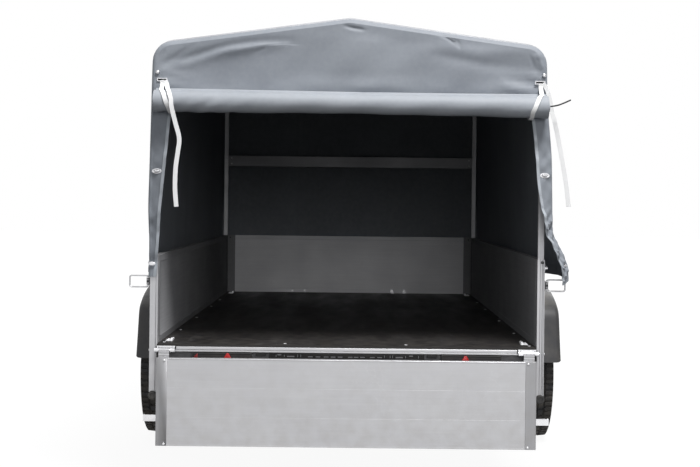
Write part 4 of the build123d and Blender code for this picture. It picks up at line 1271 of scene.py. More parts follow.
@dataclass
class Cover(Part):
    """The tarpaulin: one cloth over the hoops, with end panels and strips beside the opening."""

    ridge: float = 1.6245
    eave: float = 1.5335
    half_top: float = 0.6695
    half_bottom: float = 0.6855
    bottom: float = 0.750
    behind: float = 0.0055
    ahead: float = 0.0105
    flap_edge: float = 1.3695
    thick: float = 0.0013
    samples: int = 251
    crowding: float = 1.35
    eave_bend: float = 0.075
    ridge_bend: float = 0.060
    roof_edge: float = 0.019
    wall_edge: float = 0.013
    strip_left: Flat = (0.076, 0.025)
    crisp: float = 0.85
    strip_right: Flat = (0.060, 0.046)
    stud_height: float = 0.780
    studs: tuple[float, ...] = (0.020, 0.100, 0.685, 1.270, 1.855, 2.440)
    rails: tuple[float, ...] = (-0.44, 0.0, 0.44)
    welds: tuple[float, ...] = (-0.278, 0.196)
    panel_marks: Flat = (8.0, 5.0)
    ridge_slope: float = 0.1357
    corner_turn: float = math.radians(58)
    pleats: tuple[Flat, ...] = ((2.20, 0.007), (2.31, 0.010), (2.40, 0.006))
    creases: tuple[tuple[list[Flat], float, float, float], ...] = (
        ([(-0.650, 1.444), (-0.579, 1.455), (-0.504, 1.478), (-0.426, 1.503), (-0.355, 1.516),
          (-0.280, 1.525), (-0.21, 1.528)], 0.0080, 0.0090, 0.0034),
        ([(-0.322, 1.505), (-0.300, 1.513), (-0.276, 1.523)], -0.0030, 0.006, 0.0),
        ([(0.300, 1.572), (0.330, 1.560), (0.353, 1.545), (0.373, 1.524)], -0.0044, 0.0060, 0.0),
        ([(-0.02, 1.595), (0.01, 1.588), (0.05, 1.582)], -0.0045, 0.0065, 0.0),
        ([(0.510, 1.402), (0.560, 1.391), (0.600, 1.386), (0.645, 1.380)], 0.0085, 0.0120, 0.004),
        ([(-0.20, 1.400), (0.02, 1.392), (0.25, 1.402)], 0.0035, 0.016, 0.001),
        ([(0.28, 1.500), (0.40, 1.478), (0.52, 1.460), (0.62, 1.452)], -0.0045, 0.016, 0.0),
        ([(0.30, 1.535), (0.42, 1.515), (0.56, 1.512)], 0.0040, 0.020, 0.0),
        ([(-0.640, 1.437), (-0.600, 1.425), (-0.545, 1.418)], 0.0040, 0.0085, 0.003),
        ([(-0.635, 1.404), (-0.600, 1.396), (-0.562, 1.388)], 0.0048, 0.0075, 0.003),
        ([(-0.640, 1.452), (-0.585, 1.489), (-0.540, 1.520)], -0.0036, 0.0085, 0.0),
        ([(-0.655, 1.470), (-0.640, 1.492), (-0.632, 1.512)], -0.0035, 0.0065, 0.0),
        ([(0.660, 1.437), (0.640, 1.450), (0.622, 1.472), (0.612, 1.500)], -0.0036, 0.0055, 0.0),
        ([(0.655, 1.432), (0.635, 1.434), (0.605, 1.442)], 0.0042, 0.0070, 0.0025),
        ([(0.652, 1.423), (0.630, 1.438), (0.600, 1.462)], -0.0032, 0.0050, 0.0),
        ([(0.664, 1.445), (0.648, 1.475), (0.640, 1.506)], 0.0034, 0.0055, 0.0),
        ([(0.655, 1.515), (0.640, 1.500), (0.618, 1.494)], 0.0035, 0.0060, 0.0),
    )
    hems: dict[Side, list[int]] = field(default_factory=lambda: {Side.LEFT: [], Side.RIGHT: []})

    def arch(self) -> Outline:
        """Draws the cover's outline, with points closest together at its hems.

        Returns:
            The outline.
        """
        corners = [(-self.half_bottom, self.bottom), (-self.half_top, self.eave), (0.0, self.ridge)]
        half = [np.array(corners[0])]
        half += self.bend(corners[0], corners[1], corners[2], self.eave_bend)
        top = self.bend(corners[1], corners[2], (self.half_top, self.eave), self.ridge_bend)
        half += top[: len(top) // 2 + 1]
        left = np.array(half)
        right = left[-2::-1] * np.array([-1.0, 1.0])
        rough = np.vstack([left, right])
        run = lengths_along(rough)
        middle = run[-1] / 2
        share = np.linspace(0, 1, self.samples // 2 + 1) ** self.crowding
        near = np.concatenate([share * middle, run[-1] - share[-2::-1] * middle])
        line = np.stack([np.interp(near, run, rough[:, k]) for k in (0, 1)], axis=1)
        hem = int(np.argmin(np.abs(line[: self.samples // 2, 1] - self.flap_edge)))
        for k, side in ((hem, -1.0), (self.samples - 1 - hem, 1.0)):
            line[k] = (side * self.wall_at(self.flap_edge), self.flap_edge)
        slope = unit_rows(np.gradient(line, axis=0))
        inward = np.stack([slope[:, 1], -slope[:, 0]], axis=1)
        up = eased((line[:, 1] - (self.eave - 0.10)) / 0.10)
        bends = self.wall_edge + (self.roof_edge - self.wall_edge) * up
        return Outline(line, inward, near, bends)

    @staticmethod
    def bend(before: Flat, corner: Flat, after: Flat, radius: float) -> list[Array]:
        """The points of a rounded corner.

        Args:
            before: A point on the run into the corner.
            corner: The sharp corner.
            after: A point on the run out of it.
            radius: The bend's radius.

        Returns:
            Fifteen points from one straight to the other.
        """
        c = np.array(corner)
        a, b = np.array(before) - c, np.array(after) - c
        a, b = a / np.linalg.norm(a), b / np.linalg.norm(b)
        half = math.acos(float(a @ b)) / 2
        axis = (a + b) / np.linalg.norm(a + b)
        middle = c + axis * radius / math.sin(half)
        first = c + a * radius / math.tan(half) - middle
        last = c + b * radius / math.tan(half) - middle
        low = math.atan2(first[1], first[0])
        turn = (math.atan2(last[1], last[0]) - low + math.pi) % math.tau - math.pi
        angles = low + turn * np.linspace(0, 1, 15)
        return [middle + radius * np.array([math.cos(k), math.sin(k)]) for k in angles]

    def strip_width(self, side: Side, height: float) -> float:
        """Width of one of the strips beside the rear opening at a height."""
        top, low = self.strip_left if side is Side.LEFT else self.strip_right
        return float(np.interp(height, (self.bottom, self.flap_edge), (low, top)))

    def wall_at(self, z: Array | float) -> Array | float:
        """How far out the wall stands at a height."""
        lean = (self.half_bottom - self.half_top) / (self.eave - self.bottom)
        return self.half_top + lean * (self.eave - z)

    def build(self) -> None:
        """Lays out the cloth, shapes it, thickens it and dresses it."""
        outline = self.arch()
        back, front = self.site.rear - self.behind, self.site.front + self.ahead
        places, flat, faces = self.walls(outline, back, front)
        numbers = list(range(len(places)))
        columns = len(outline.line)
        for ring, y, rear in ((numbers[:columns], back, True), (numbers[-columns:], front, False)):
            more, more_flat, more_faces = self.panel(outline, y, rear, len(places), ring)
            places = np.vstack([places, more])
            flat = np.vstack([flat, more_flat])
            faces += more_faces
        places = self.shaped(places)
        obj = cloth_mesh("cover_cloth", places, faces, flat)
        with editing(obj, "VERT"):
            bpy.ops.mesh.select_all(action="SELECT")
            bpy.ops.mesh.normals_make_consistent(inside=False)
        obj.data.materials.append(self.paints.by_name["Tarpaulin"])
        obj.data.materials.append(self.paints.by_name["Tarpaulin lining"])
        applied(obj, "SOLIDIFY", thickness=self.thick, offset=-1.0, material_offset=1, use_rim=True)
        smooth(obj, math.radians(60))
        self.dress(obj, "Tarpaulin", stands_for=("cover_roof", "cover_sides", "cover_front",
                                                        "cover_rear"))
        self.trim(places)

    def trim(self, places: Array) -> None:
        """Adds the sewn hems beside the rear opening, in the cover's cloth painted lighter as
        painted highlight.

        Args:
            places: The cloth's shaped vertices.
        """
        for side, numbers in self.hems.items():
            edge = places[numbers[::2]]
            turn = self.strip_turn(edge[:, 2]) * (side is Side.RIGHT)
            across = [(math.cos(k), math.sin(k) * 0.75, 0.0) for k in turn]
            ribbon = Ribbon(f"strip_hem_{side.label}", edge + np.array([0.0, 0.0003, 0.0]), across,
                            0.0105, 0.0030, 90)
            hem, length = ribbon.build()
            # The hem takes the cover's cloth painted lighter, as painted highlight.
            self.dress(hem, "Tarpaulin welt")

    def walls(self, outline: Outline, back: float, front: float) -> tuple[Array, Array, list]:
        """The roof and both walls as one grid, with its ends rounded inwards.

        Args:
            outline: The line across.
            back: Place of the rear panel.
            front: Place of the front panel.

        Returns:
            The vertices, their places on the cloth and the faces.
        """
        line, bends = outline.line, outline.bends
        close = [0.006, 0.014, 0.024, 0.036, 0.050, 0.066, 0.084, 0.104, 0.126, 0.15]
        first, length = 0.172, front - back
        inner = np.linspace(first, length - first - 2 * self.roof_edge, 70)
        turns = np.linspace(math.pi / 2, 0, 9)
        up = eased((line[:, 1] - self.eave + 0.03) / 0.05) * self.crisp
        rings = []
        for turn in turns:
            share = min(max((turn - 0.18) / (math.pi / 2 - 0.36), 0.0), 1.0)
            shift = bends * ((1 - math.cos(turn)) * (1 - up) + share * up)
            depth = bends * ((1 - math.sin(turn)) * (1 - up) + (1 - share) * up)
            rings.append((shift, back + depth))
        wall = [self.roof_edge + c for c in (*close, *inner)]
        wall += [length - self.roof_edge - c for c in reversed(close)]
        still = np.zeros(len(line))
        rings += [(still, still + (back + w)) for w in sorted({round(float(w), 5) for w in wall})]
        rings += [(bends * (1 - math.cos(turn)), front - bends * (1 - math.sin(turn)))
                  for turn in turns[::-1]]
        rows = [np.insert(line + outline.inward * shift[:, None], 1, y, axis=1)
                for shift, y in rings]
        flat = [np.stack([outline.run, y], axis=1) for _, y in rings]
        return np.vstack(rows), np.vstack(flat), grid_faces(len(rows), len(line))

    def panel(self, outline: Outline, y: float, rear: bool, start: int,
              ring: Sequence[int]) -> tuple[Array, Array, list]:
        """An end panel: the whole front, or the rear gable with its two strips.

        Args:
            outline: The line across.
            y: Place of the panel.
            rear: Whether it is the rear one.
            start: Number of its first new vertex.
            ring: The vertices of the walls' last row, which it shares.

        Returns:
            Its new vertices, their places on the cloth and its faces.
        """
        edge = outline.line + outline.inward * outline.bends[:, None]
        middle = len(edge) // 2
        side, inner = 10, 124 if rear else 40
        places, flat, faces = [], [], []
        rows: list[tuple[list[int], bool]] = []
        for k in range(middle):
            (left, height), right = edge[k], edge[-1 - k][0]
            gap = right - left
            first, last = (min(self.strip_width(which, height) - self.wall_edge, gap * 0.3)
                           for which in Side)
            whole = not rear or height >= self.flap_edge - 0.001
            xs = [left + first * c / side for c in range(1, side + 1)]
            if whole:
                between = list(np.linspace(left + first, right - last, inner)[1:-1])
                if not rear:
                    between += [(weld + beside) * min(1.0, gap / 1.1) for weld in self.welds
                                for beside in (-0.011, -0.004, 0.004, 0.011)]
                xs += sorted(between)
            xs += [right - last * c / side for c in range(side, 0, -1)]
            here = start + len(places)
            if rear and height <= self.flap_edge + 0.001:
                self.hems[Side.LEFT].append(here + side - 1)
                self.hems[Side.RIGHT].append(here + len(xs) - side)
            places += [(x, y, height) for x in xs]
            flat += [(x + self.panel_marks[rear], height) for x in xs]
            rows.append(([ring[k], *range(here, here + len(xs)), ring[-1 - k]], whole))
        for (low, whole), (high, _) in zip(rows, rows[1:]):
            if whole:
                faces += [(low[c], low[c + 1], high[c + 1], high[c]) for c in range(len(low) - 1)]
            else:
                for c in range(side):
                    faces.append((low[c], low[c + 1], high[c + 1], high[c]))
                    faces.append((low[-2 - c], low[-1 - c], high[-1 - c], high[-2 - c]))
        top = rows[-1][0]
        faces += [(a, b, ring[middle]) for a, b in zip(top, top[1:])]
        return np.array(places), np.array(flat), faces

    def strip_turn(self, z: Array) -> Array:
        """How far the right strip is turned outwards at a height, in radians."""
        return eased((1.16 - z) / 0.30) * self.corner_turn

    def shaped(self, places: Array) -> Array:
        """Gives the cloth its sag, folds, creases and puckers.

        Args:
            places: The vertices of the uncreased cover.

        Returns:
            The vertices moved.
        """
        x, y, z = places.T
        ahead, length = y - self.site.rear, self.site.front - self.site.rear
        spots = Spots(x, ahead, z, rear=ahead < -self.behind + 0.004,
                      front=ahead > length + self.ahead - 0.004)
        moved = places.copy()
        body = ~spots.rear & ~spots.front
        roof = eased((z - self.eave + 0.05) / 0.06)
        span = np.sin(np.clip((ahead - 0.03) / (length - 0.06), 0, 1) * math.pi)
        moved[:, 2] -= self.roof_sag(spots, span) * roof * body
        moved[:, 0] -= np.sign(x) * self.wall_draw(spots, span) * (1 - roof) * body
        self.shape_ends(moved, spots)
        self.shape_corner(moved, spots)
        return moved

    def roof_sag(self, at: Spots, span: Array) -> Array:
        """How far the roof sags between the rails, more in the middle of its length.

        Args:
            at: The cloth's vertices.
            span: 0 at both hoops and 1 halfway between them.

        Returns:
            The drop at each vertex.
        """
        on_rail = np.minimum.reduce([np.abs(at.x - rail) for rail in self.rails])
        free = eased(on_rail / 0.12)
        ripple = np.sin(at.ahead * 11.0 + 4 * at.x) * np.sin(at.ahead * 3.7 + 1.0)
        return (0.007 * span ** 0.7 * free * (1 + 0.4 * np.sin(at.ahead * 5.1 + at.x * 3.0))
                + 0.0025 * ripple * free * span)

    def wall_draw(self, at: Spots, span: Array) -> Array:
        """How far the walls are drawn in: long soft waves down to the studs, and pleats.

        Args:
            at: The cloth's vertices.
            span: 0 at both hoops and 1 halfway between them.

        Returns:
            The inward move at each vertex.
        """
        ahead, z = at.ahead, at.z
        height = np.clip((self.eave - z) / (self.eave - self.stud_height), 0, 1)
        over = z - self.stud_height
        hollow = np.sin(height * math.pi)
        belly = hollow * span
        wave = 0.006 * belly * (1 + 0.3 * np.sin(ahead * 4.3 + 0.7))
        wave += 0.0036 * np.sin(ahead * 14.0 + 2.2 * z) * hollow ** 0.6 * span
        wave += 0.0024 * np.sin(ahead * 31.0 - 5.0 * z + 1.3) * height * span
        for stud in self.studs:
            apart = ahead - stud
            fan = bell(apart / (0.03 + 0.25 * np.clip(over, 0, 1)))
            trough = bell((np.abs(apart) - 0.05 - 0.2 * over) / 0.02)
            wave += (0.005 * fan - 0.004 * trough) * np.exp(-np.clip(over, 0, 2) / 0.16)
        for pleat, depth in self.pleats:
            wave += depth * bell((ahead - pleat - 0.05 * (z - 1.1)) / 0.022) * belly
        wave -= 0.004 * np.clip((0.02 - over) / 0.05, 0, 1) * np.sin(ahead * 23.0) ** 2
        return np.clip(wave, -0.006, 0.012)

    def crease(self, at: Spots, points: Sequence[Flat], depth: float, width: float,
               valley: float = 0.0) -> Array:
        """Height of a crease along a line on an end panel.

        Args:
            at: The cloth's vertices.
            points: What the crease goes through.
            depth: How far it stands out.
            width: Its half width.
            valley: Depth of the trough on its upper side.

        Returns:
            How far each vertex moves outwards.
        """
        line = curved_through(points, 60)
        best = np.full(len(at.x), 9.0)
        over, share = np.zeros_like(best), np.zeros_like(best)
        for k, (x, z) in enumerate(line):
            apart = np.hypot(at.x - x, at.z - z)
            nearer = apart < best
            best[nearer] = apart[nearer]
            over[nearer] = np.sign(at.z - z)[nearer]
            share[nearer] = k / (len(line) - 1)
        fade = np.sin(np.clip(share * 0.94 + 0.03, 0, 1) * math.pi) ** 0.6
        reach = width * np.where(over > 0, 1.0, 2.0 if valley else 1.0)
        out = depth * bell(best / reach)
        if valley:
            out -= valley * bell((best - 2.1 * width) / (1.3 * width)) * (over > 0)
        return out * fade

    def shape_ends(self, moved: Array, at: Spots) -> None:
        """Folds on the gable, the strips and the front panel.

        Args:
            moved: The vertices, changed in place.
            at: The same vertices before any move.
        """
        x, z = at.x, at.z
        inside = np.clip((self.half_top - np.abs(x) - 0.012) / 0.05, 0, 1)
        under = np.clip((self.ridge - self.ridge_slope * np.abs(x) - z - 0.03) / 0.05, 0, 1)
        soft = eased(inside) * eased(under)
        gable = eased((z - self.flap_edge + 0.01) / 0.02)
        billow = 0.0060 * np.sin(x * 5.2 + 0.6) * np.sin((z - 1.36) * 13.0 + 0.4)
        billow += 0.0018 * np.sin(x * 17.0 + z * 9.0) + 0.0012 * np.sin(x * 29.0 - z * 37.0)
        hem = 0.0016 * np.sin(x * 46.0) * bell((z - self.flap_edge) / 0.03)
        folds = sum(self.crease(at, *crease) for crease in self.creases)
        out = (folds + billow * soft + hem) * gable
        out += self.strip_folds(at) * (1 - gable)
        moved[:, 1] -= np.where(at.rear, out, 0.0)
        ripple = 0.004 * np.sin(x * 9.0 + 1.0) * np.sin(z * 4.0) * soft
        ripple += 0.0025 * np.sin(x * 23.0 - z * 3.0) * soft
        for weld in self.welds:
            ripple -= 0.0016 * (np.abs(x - weld) < 0.006)
        moved[:, 1] -= np.where(at.front, 0.004 * soft + ripple, 0.0)

    def strip_folds(self, at: Spots) -> Array:
        """How far the strips beside the opening stand out: waves, crumples and a slant.

        Args:
            at: The cloth's vertices.

        Returns:
            The outward move at each vertex.
        """
        x, z = np.abs(at.x), at.z
        below = self.flap_edge - z
        slant = np.sin(z * 131.0 + x * 104.0 + 2.4 * np.sin(z * 19.0))
        counter = np.sin(z * 93.0 - x * 121.0 + 1.8 * np.sin(z * 27.0 + 1.0))
        crumple = (1 + slant * (0.6 + 0.4 * np.sin(z * 23.0))) + 0.7 * (1 + counter)
        crumple *= np.where(at.x > 0, 1.0, 0.6) * eased(below / 0.06)
        arm = np.clip(self.wall_at(z) - self.wall_edge - x, 0.0, 0.09)
        return (0.0016 * np.sin(z * 41.0) + 0.0012 * np.sin(z * 67.0 + 1.0) + 0.0019 * crumple
                + arm * 0.50 * eased(below / 0.10) * eased((z - 0.76) / 0.10))

    def shape_corner(self, moved: Array, at: Spots) -> None:
        """Lets the loose lower corner at the right of the opening stand out and twist.

        Args:
            moved: The vertices, changed in place.
            at: The same vertices before any move.
        """
        x, ahead, z = at.x, at.ahead, at.z
        drop = eased((0.915 - z) / 0.135)
        near = 1 - eased((ahead - 0.02) / 0.36)
        right, left = x > 0.4, x < -0.4
        share = np.where(right, drop * near, 0.0)
        bulge = 0.014 * eased((1.38 - z) / 0.26) * near * right
        moved[:, 0] += 0.052 * share + bulge + 0.007 * left * near * eased((1.0 - z) / 0.2)
        moved[:, 2] -= 0.024 * share ** 2 * (1 - eased(ahead / 0.12))
        # The strip turns about the wall's rear edge, so that its inner hem swings outwards.
        arm = np.clip(self.wall_at(z) - x, 0.0, 0.08)
        strip = right & (ahead < 0.03)
        angle = self.strip_turn(z)
        moved[:, 0] += np.where(strip, arm * (1 - np.cos(angle)), 0.0)
        moved[:, 1] -= np.where(strip, arm * np.sin(angle) * 0.75, 0.0)
        crumple = eased((1.03 - z) / 0.12) * strip * eased(arm / 0.012)
        crumple *= eased((z - self.bottom) / 0.04)
        folds = 0.0046 * np.sin(z * 160.0 + arm * 120.0)
        folds += 0.0036 * np.sin(z * 290.0 - arm * 160.0 + 1.0)
        moved[:, 1] -= folds * crumple
        moved[:, 0] += 0.5 * folds * crumple
        moved[:, 2] += 0.013 * drop * strip * (1 - eased(arm / 0.045))
        # The strip at the left hangs a little lower than the skirt and puckers at its stud.
        hang = left & (ahead < 0.03)
        over = z - self.stud_height
        moved[:, 2] -= 0.0125 * hang * eased((0.03 - over) / 0.06)
        pucker = bell((over - 0.009) / 0.012) - 0.5 * bell((over - 0.036) / 0.014)
        moved[:, 1] += 0.0045 * pucker * hang




@dataclass
class RolledFlap(Part):
    """The rear flap, rolled up under the gable, with its straps, loops, studs and cord."""

    marks: tuple[float, ...] = (-0.655, -0.30, 0.05, 0.40, 0.6665)
    heights: tuple[float, ...] = (1.3285, 1.3270, 1.3258, 1.3232, 1.3205)
    radii: tuple[float, ...] = (0.0388, 0.0368, 0.0350, 0.0368, 0.0402)
    behind: float = 0.0488
    core: float = 0.011
    turns: float = 3.65
    thick: float = 0.0013
    rounds: int = 34
    ties: Flat = (-0.603, 0.628)
    lead: tuple[Flat, ...] = ((-0.0084, 0.0085), (-0.0106, 0.0050), (-0.0165, 0.0016),
                              (-0.0300, 0.0))
    cord_radius: float = 0.0026
    webbing: float = 0.0148
    studs: tuple[Flat, ...] = ((-0.6505, 1.431), (0.6593, 1.434))
    slots: tuple[Flat, ...] = ((-0.6356, 1.4050), (0.6458, 1.4090))

    def build(self) -> None:
        """Builds the roll and everything that ties it."""
        self.roll()
        self.straps()
        self.loops()

    def cord(self) -> None:
        """The stiff end of the hem's cord, which stands out of the roll."""
        middle = self.site.y(-self.behind)
        points = [(x, middle - back, z) for x, back, z in (
            (0.6675, 0.0, 1.3255), (0.689, 0.0, 1.327), (0.715, 0.001, 1.335),
            (0.7433, 0.001, 1.3485))]
        curve = bpy.data.curves.new("hem_cord", "CURVE")
        curve.dimensions = "3D"
        spline = curve.splines.new("NURBS")
        spline.points.add(len(points) - 1)
        for knot, point in zip(spline.points, points):
            knot.co = (*point, 1.0)
        spline.order_u = 3
        spline.use_endpoint_u = True
        curve.resolution_u = 24
        curve.bevel_depth = self.cord_radius
        curve.bevel_resolution = 5
        curve.use_fill_caps = True
        obj = bpy.data.objects.new("hem_cord", curve)
        bpy.context.scene.collection.objects.link(obj)
        self.dress(obj, "Hem cord", stands_for=("flap_cord",))
        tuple(points[0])

    def roll(self) -> None:
        """Winds the cloth into its roll, loose and a little uneven."""
        columns = np.linspace(self.marks[0], self.marks[-1], 121)
        centre, outer = (np.interp(columns, self.marks, sizes)
                         for sizes in (self.heights, self.radii))
        rings = [self.ring(columns, ahead, centre + outer + 0.0012 + up) for ahead, up in self.lead]
        count = int(self.turns * self.rounds)
        for step in range(count + 1):
            turn, share = step / self.rounds, step / count
            angle = math.pi / 2 + turn * math.tau
            radius = outer + (self.core - outer) * share
            radius += self.slack(columns, angle) * min(step / 10, 1.0) * (1 - share)
            if share < 0.3:
                radius -= 0.0014 * sum(bell((columns - tie) / 0.012) for tie in self.ties)
            rings.append(self.ring(columns, -self.behind + radius * math.cos(angle),
                                   centre + radius * math.sin(angle),
                                   0.0035 * math.sin(turn * 2.3 + 0.5) * share * 2))
        steps = [float(np.linalg.norm(b - a, axis=1).mean()) for a, b in zip(rings, rings[1:])]
        runs = np.concatenate([[0], np.cumsum(steps)])
        flat = np.array([(c, along) for along in runs for c in columns])
        faces = grid_faces(len(rings), len(columns))
        obj = cloth_mesh("rolled_flap", np.vstack(rings), faces, flat)
        obj.data.flip_normals()
        applied(obj, "SOLIDIFY", thickness=self.thick, offset=-1.0)
        smooth(obj, math.radians(60))
        # The roll is the cover's cloth painted lighter, as painted light on it.
        self.dress(obj, "Tarpaulin roll", stands_for=("flap_roll",))

    @staticmethod
    def slack(columns: Array, angle: float) -> Array:
        """How uneven the roll's radius is.

        Args:
            columns: Places along the roll.
            angle: Angle of its winding.

        Returns:
            How far the cloth stands out at each place.
        """
        left = bell((columns + 0.50) / 0.16)
        return (0.0009 * np.sin(columns * 31 + 2.2 * angle)
                + 0.0007 * np.sin(columns * 11 - angle * 1.7 + 1.0)
                + 0.0016 * left * np.sin(columns * 84 + angle * 4.0))

    def ring(self, columns: Array, ahead: Array | float, z: Array, shift: float = 0.0) -> Array:
        """One line of the cloth along the roll.

        Args:
            columns: Places across.
            ahead: Distance ahead of the posts' rear face.
            z: Height at each place.
            shift: How far its ends are moved outwards.

        Returns:
            Its vertices.
        """
        ends = np.sign(columns) * np.clip((np.abs(columns) - 0.55) / 0.1, 0, 1)
        return np.stack([columns + shift * ends, self.site.rear + ahead + 0.0 * z, z], axis=1)

    def around(self, x: Flat, first: float, last: float, gap: float, count: int = 9) -> list[Point]:
        """Points round the roll's outside.

        Args:
            x: Place along the roll at the first and the last point.
            first: First angle in degrees, from ahead towards the top.
            last: Last angle.
            gap: Distance from the roll's surface.
            count: How many points.

        Returns:
            The points.
        """
        points = []
        for share in np.linspace(0, 1, count):
            angle = math.radians(first + (last - first) * share)
            place = x[0] + (x[1] - x[0]) * share
            height, radius = (float(np.interp(place, self.marks, sizes))
                              for sizes in (self.heights, self.radii))
            reach = radius + gap
            points.append((place, self.site.y(-self.behind) + reach * math.cos(angle),
                           height + reach * math.sin(angle)))
        return points

    def behind_posts(self, *points: Point) -> list[Point]:
        """Places given as (x, distance behind the posts' rear face, z)."""
        return [(x, self.site.y(-back), z) for x, back, z in points]

    def straps(self) -> None:
        """Both webbing straps, from their studs round the roll to their loose ends."""
        out, lean = (1.0, 0.0, 0.0), (1.0, 0.05, 0.1)
        left = self.behind_posts((-0.6245, 0.0100, 1.403), (-0.618, 0.013, 1.388))
        left += self.around((-0.610, -0.594), 96, 172, 0.0034, 7)
        left += self.behind_posts(
            (-0.592, 0.0925, 1.314), (-0.587, 0.0920, 1.290), (-0.577, 0.0905, 1.252),
            (-0.5646, 0.0895, 1.203), (-0.5684, 0.0895, 1.159), (-0.5751, 0.0895, 1.1065),
            (-0.5766, 0.0895, 1.0366), (-0.5716, 0.0895, 0.9754))
        self.strap("roll_strap_left", left, [out] * 9 + [lean] * 8, stands_for=("roll_straps",))
        short = self.behind_posts((-0.636, 0.0095, 1.403), (-0.6335, 0.0120, 1.388))
        short += self.around((-0.631, -0.602), 98, 220, 0.0014, 9)
        short += self.around((-0.600, -0.592), 236, 372, 0.0014, 9)
        self.strap("roll_strap_left_return", short, [out] * 20)
        right = self.behind_posts((0.648, 0.0100, 1.406), (0.6475, 0.0125, 1.390))
        right += self.around((0.6455, 0.612), 96, 208, 0.0018, 9)
        right += self.around((0.611, 0.607), 222, 330, 0.0018, 7)
        self.strap("roll_strap_right", right, [out] * 18)
        tail = self.behind_posts(
            (0.655, 0.0095, 1.407), (0.667, 0.0080, 1.390), (0.6800, 0.0066, 1.352),
            (0.6855, 0.0066, 1.319), (0.6990, 0.0080, 1.2655), (0.7177, 0.0080, 1.1767),
            (0.7369, 0.0080, 1.070), (0.7466, 0.0080, 0.990))
        self.strap("roll_strap_right_tail", tail, [(1.0, 0.0, 0.25)] * 3 + [(1.0, 0.0, 0.1)] * 5)

    def strap(self, name: str, points: list[Point], across: list[Point],
              stands_for: Sequence[str] = ()) -> None:
        """One run of webbing.

        Args:
            name: The piece's name.
            points: What its middle line goes through.
            across: The direction of its width at each point.
            stands_for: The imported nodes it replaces.
        """
        obj, length = Ribbon(name, points, across, self.webbing, steps=110).build()
        self.dress(obj, "Roller webbing", stands_for=stands_for)

    def loops(self) -> None:
        """The domed studs on the gable with the loops that hang on them."""
        y = self.site.y(-0.0060)
        for side, (x, z), (slot_x, slot_z) in zip(Side, self.studs, self.slots):
            stud = joined(f"gable_stud_{side.label}", [
                dome(f"stud-{side.label}", (x, y - 0.0032, z), (0, -1, 0), 0.0070, 0.0052),
                drum(f"shank-{side.label}", (x, y + 0.004, z), (x, y - 0.0045, z), 0.0038, 16)])
            self.dress(stud, "Zinc-plated steel")
            frame, gap = (block(f"strap_{name}_{side.label}",
                                (slot_x - half, y - out, slot_z - rise),
                                (slot_x + half, y - foot, slot_z + rise))
                          for name, half, out, foot, rise in (
                              ("slot", 0.0175, 0.0042, 0.0012, 0.0058),
                              ("gap", 0.0145, 0.0027, 0.0022, 0.0030)))
            pushed(frame, Way.BACK, -0.0018, 0.0026)
            self.dress(rounded(frame, 0.0007, 2), "White plastic")
            # A black block inside the slot's frame, as painted shade in the slot.
            self.dress(rounded(gap, 0.0001, 1), "Dark seam")


# --- Box --------------------------------------------------------------------------------------
def board_section(inner: float, outer: float, low: float, high: float, lip: float = 0.022,
                  recess: float = 0.0011) -> list[Flat]:
    """Outline of a hollow aluminium board: a panel with two grooves between thicker profiles.

    Args:
        inner: Face towards the load.
        outer: The other face.
        low: Lower edge.
        high: Upper edge.
        lip: Height of the profiles along its top and bottom.
        recess: How far the panel lies inside their faces.

    Returns:
        The outline as (place across, height) pairs.
    """
    slope, groove = 0.0012, 0.0005
    way = math.copysign(recess, outer - inner)
    foot, head = low + lip, high - lip
    back, floor = outer - way, outer - way - math.copysign(groove, way)
    points = [(inner, low), (inner, foot), (inner + way, foot + slope), (inner + way, head - slope),
              (inner, head), (inner, high), (outer, high), (outer, head), (back, head - slope)]
    for third in (2, 1):
        middle = low + (high - low) * third / 3
        points += [(back, middle + groove), (floor, middle), (back, middle - groove)]
    return points + [(back, foot + slope), (outer, foot), (outer, low)]


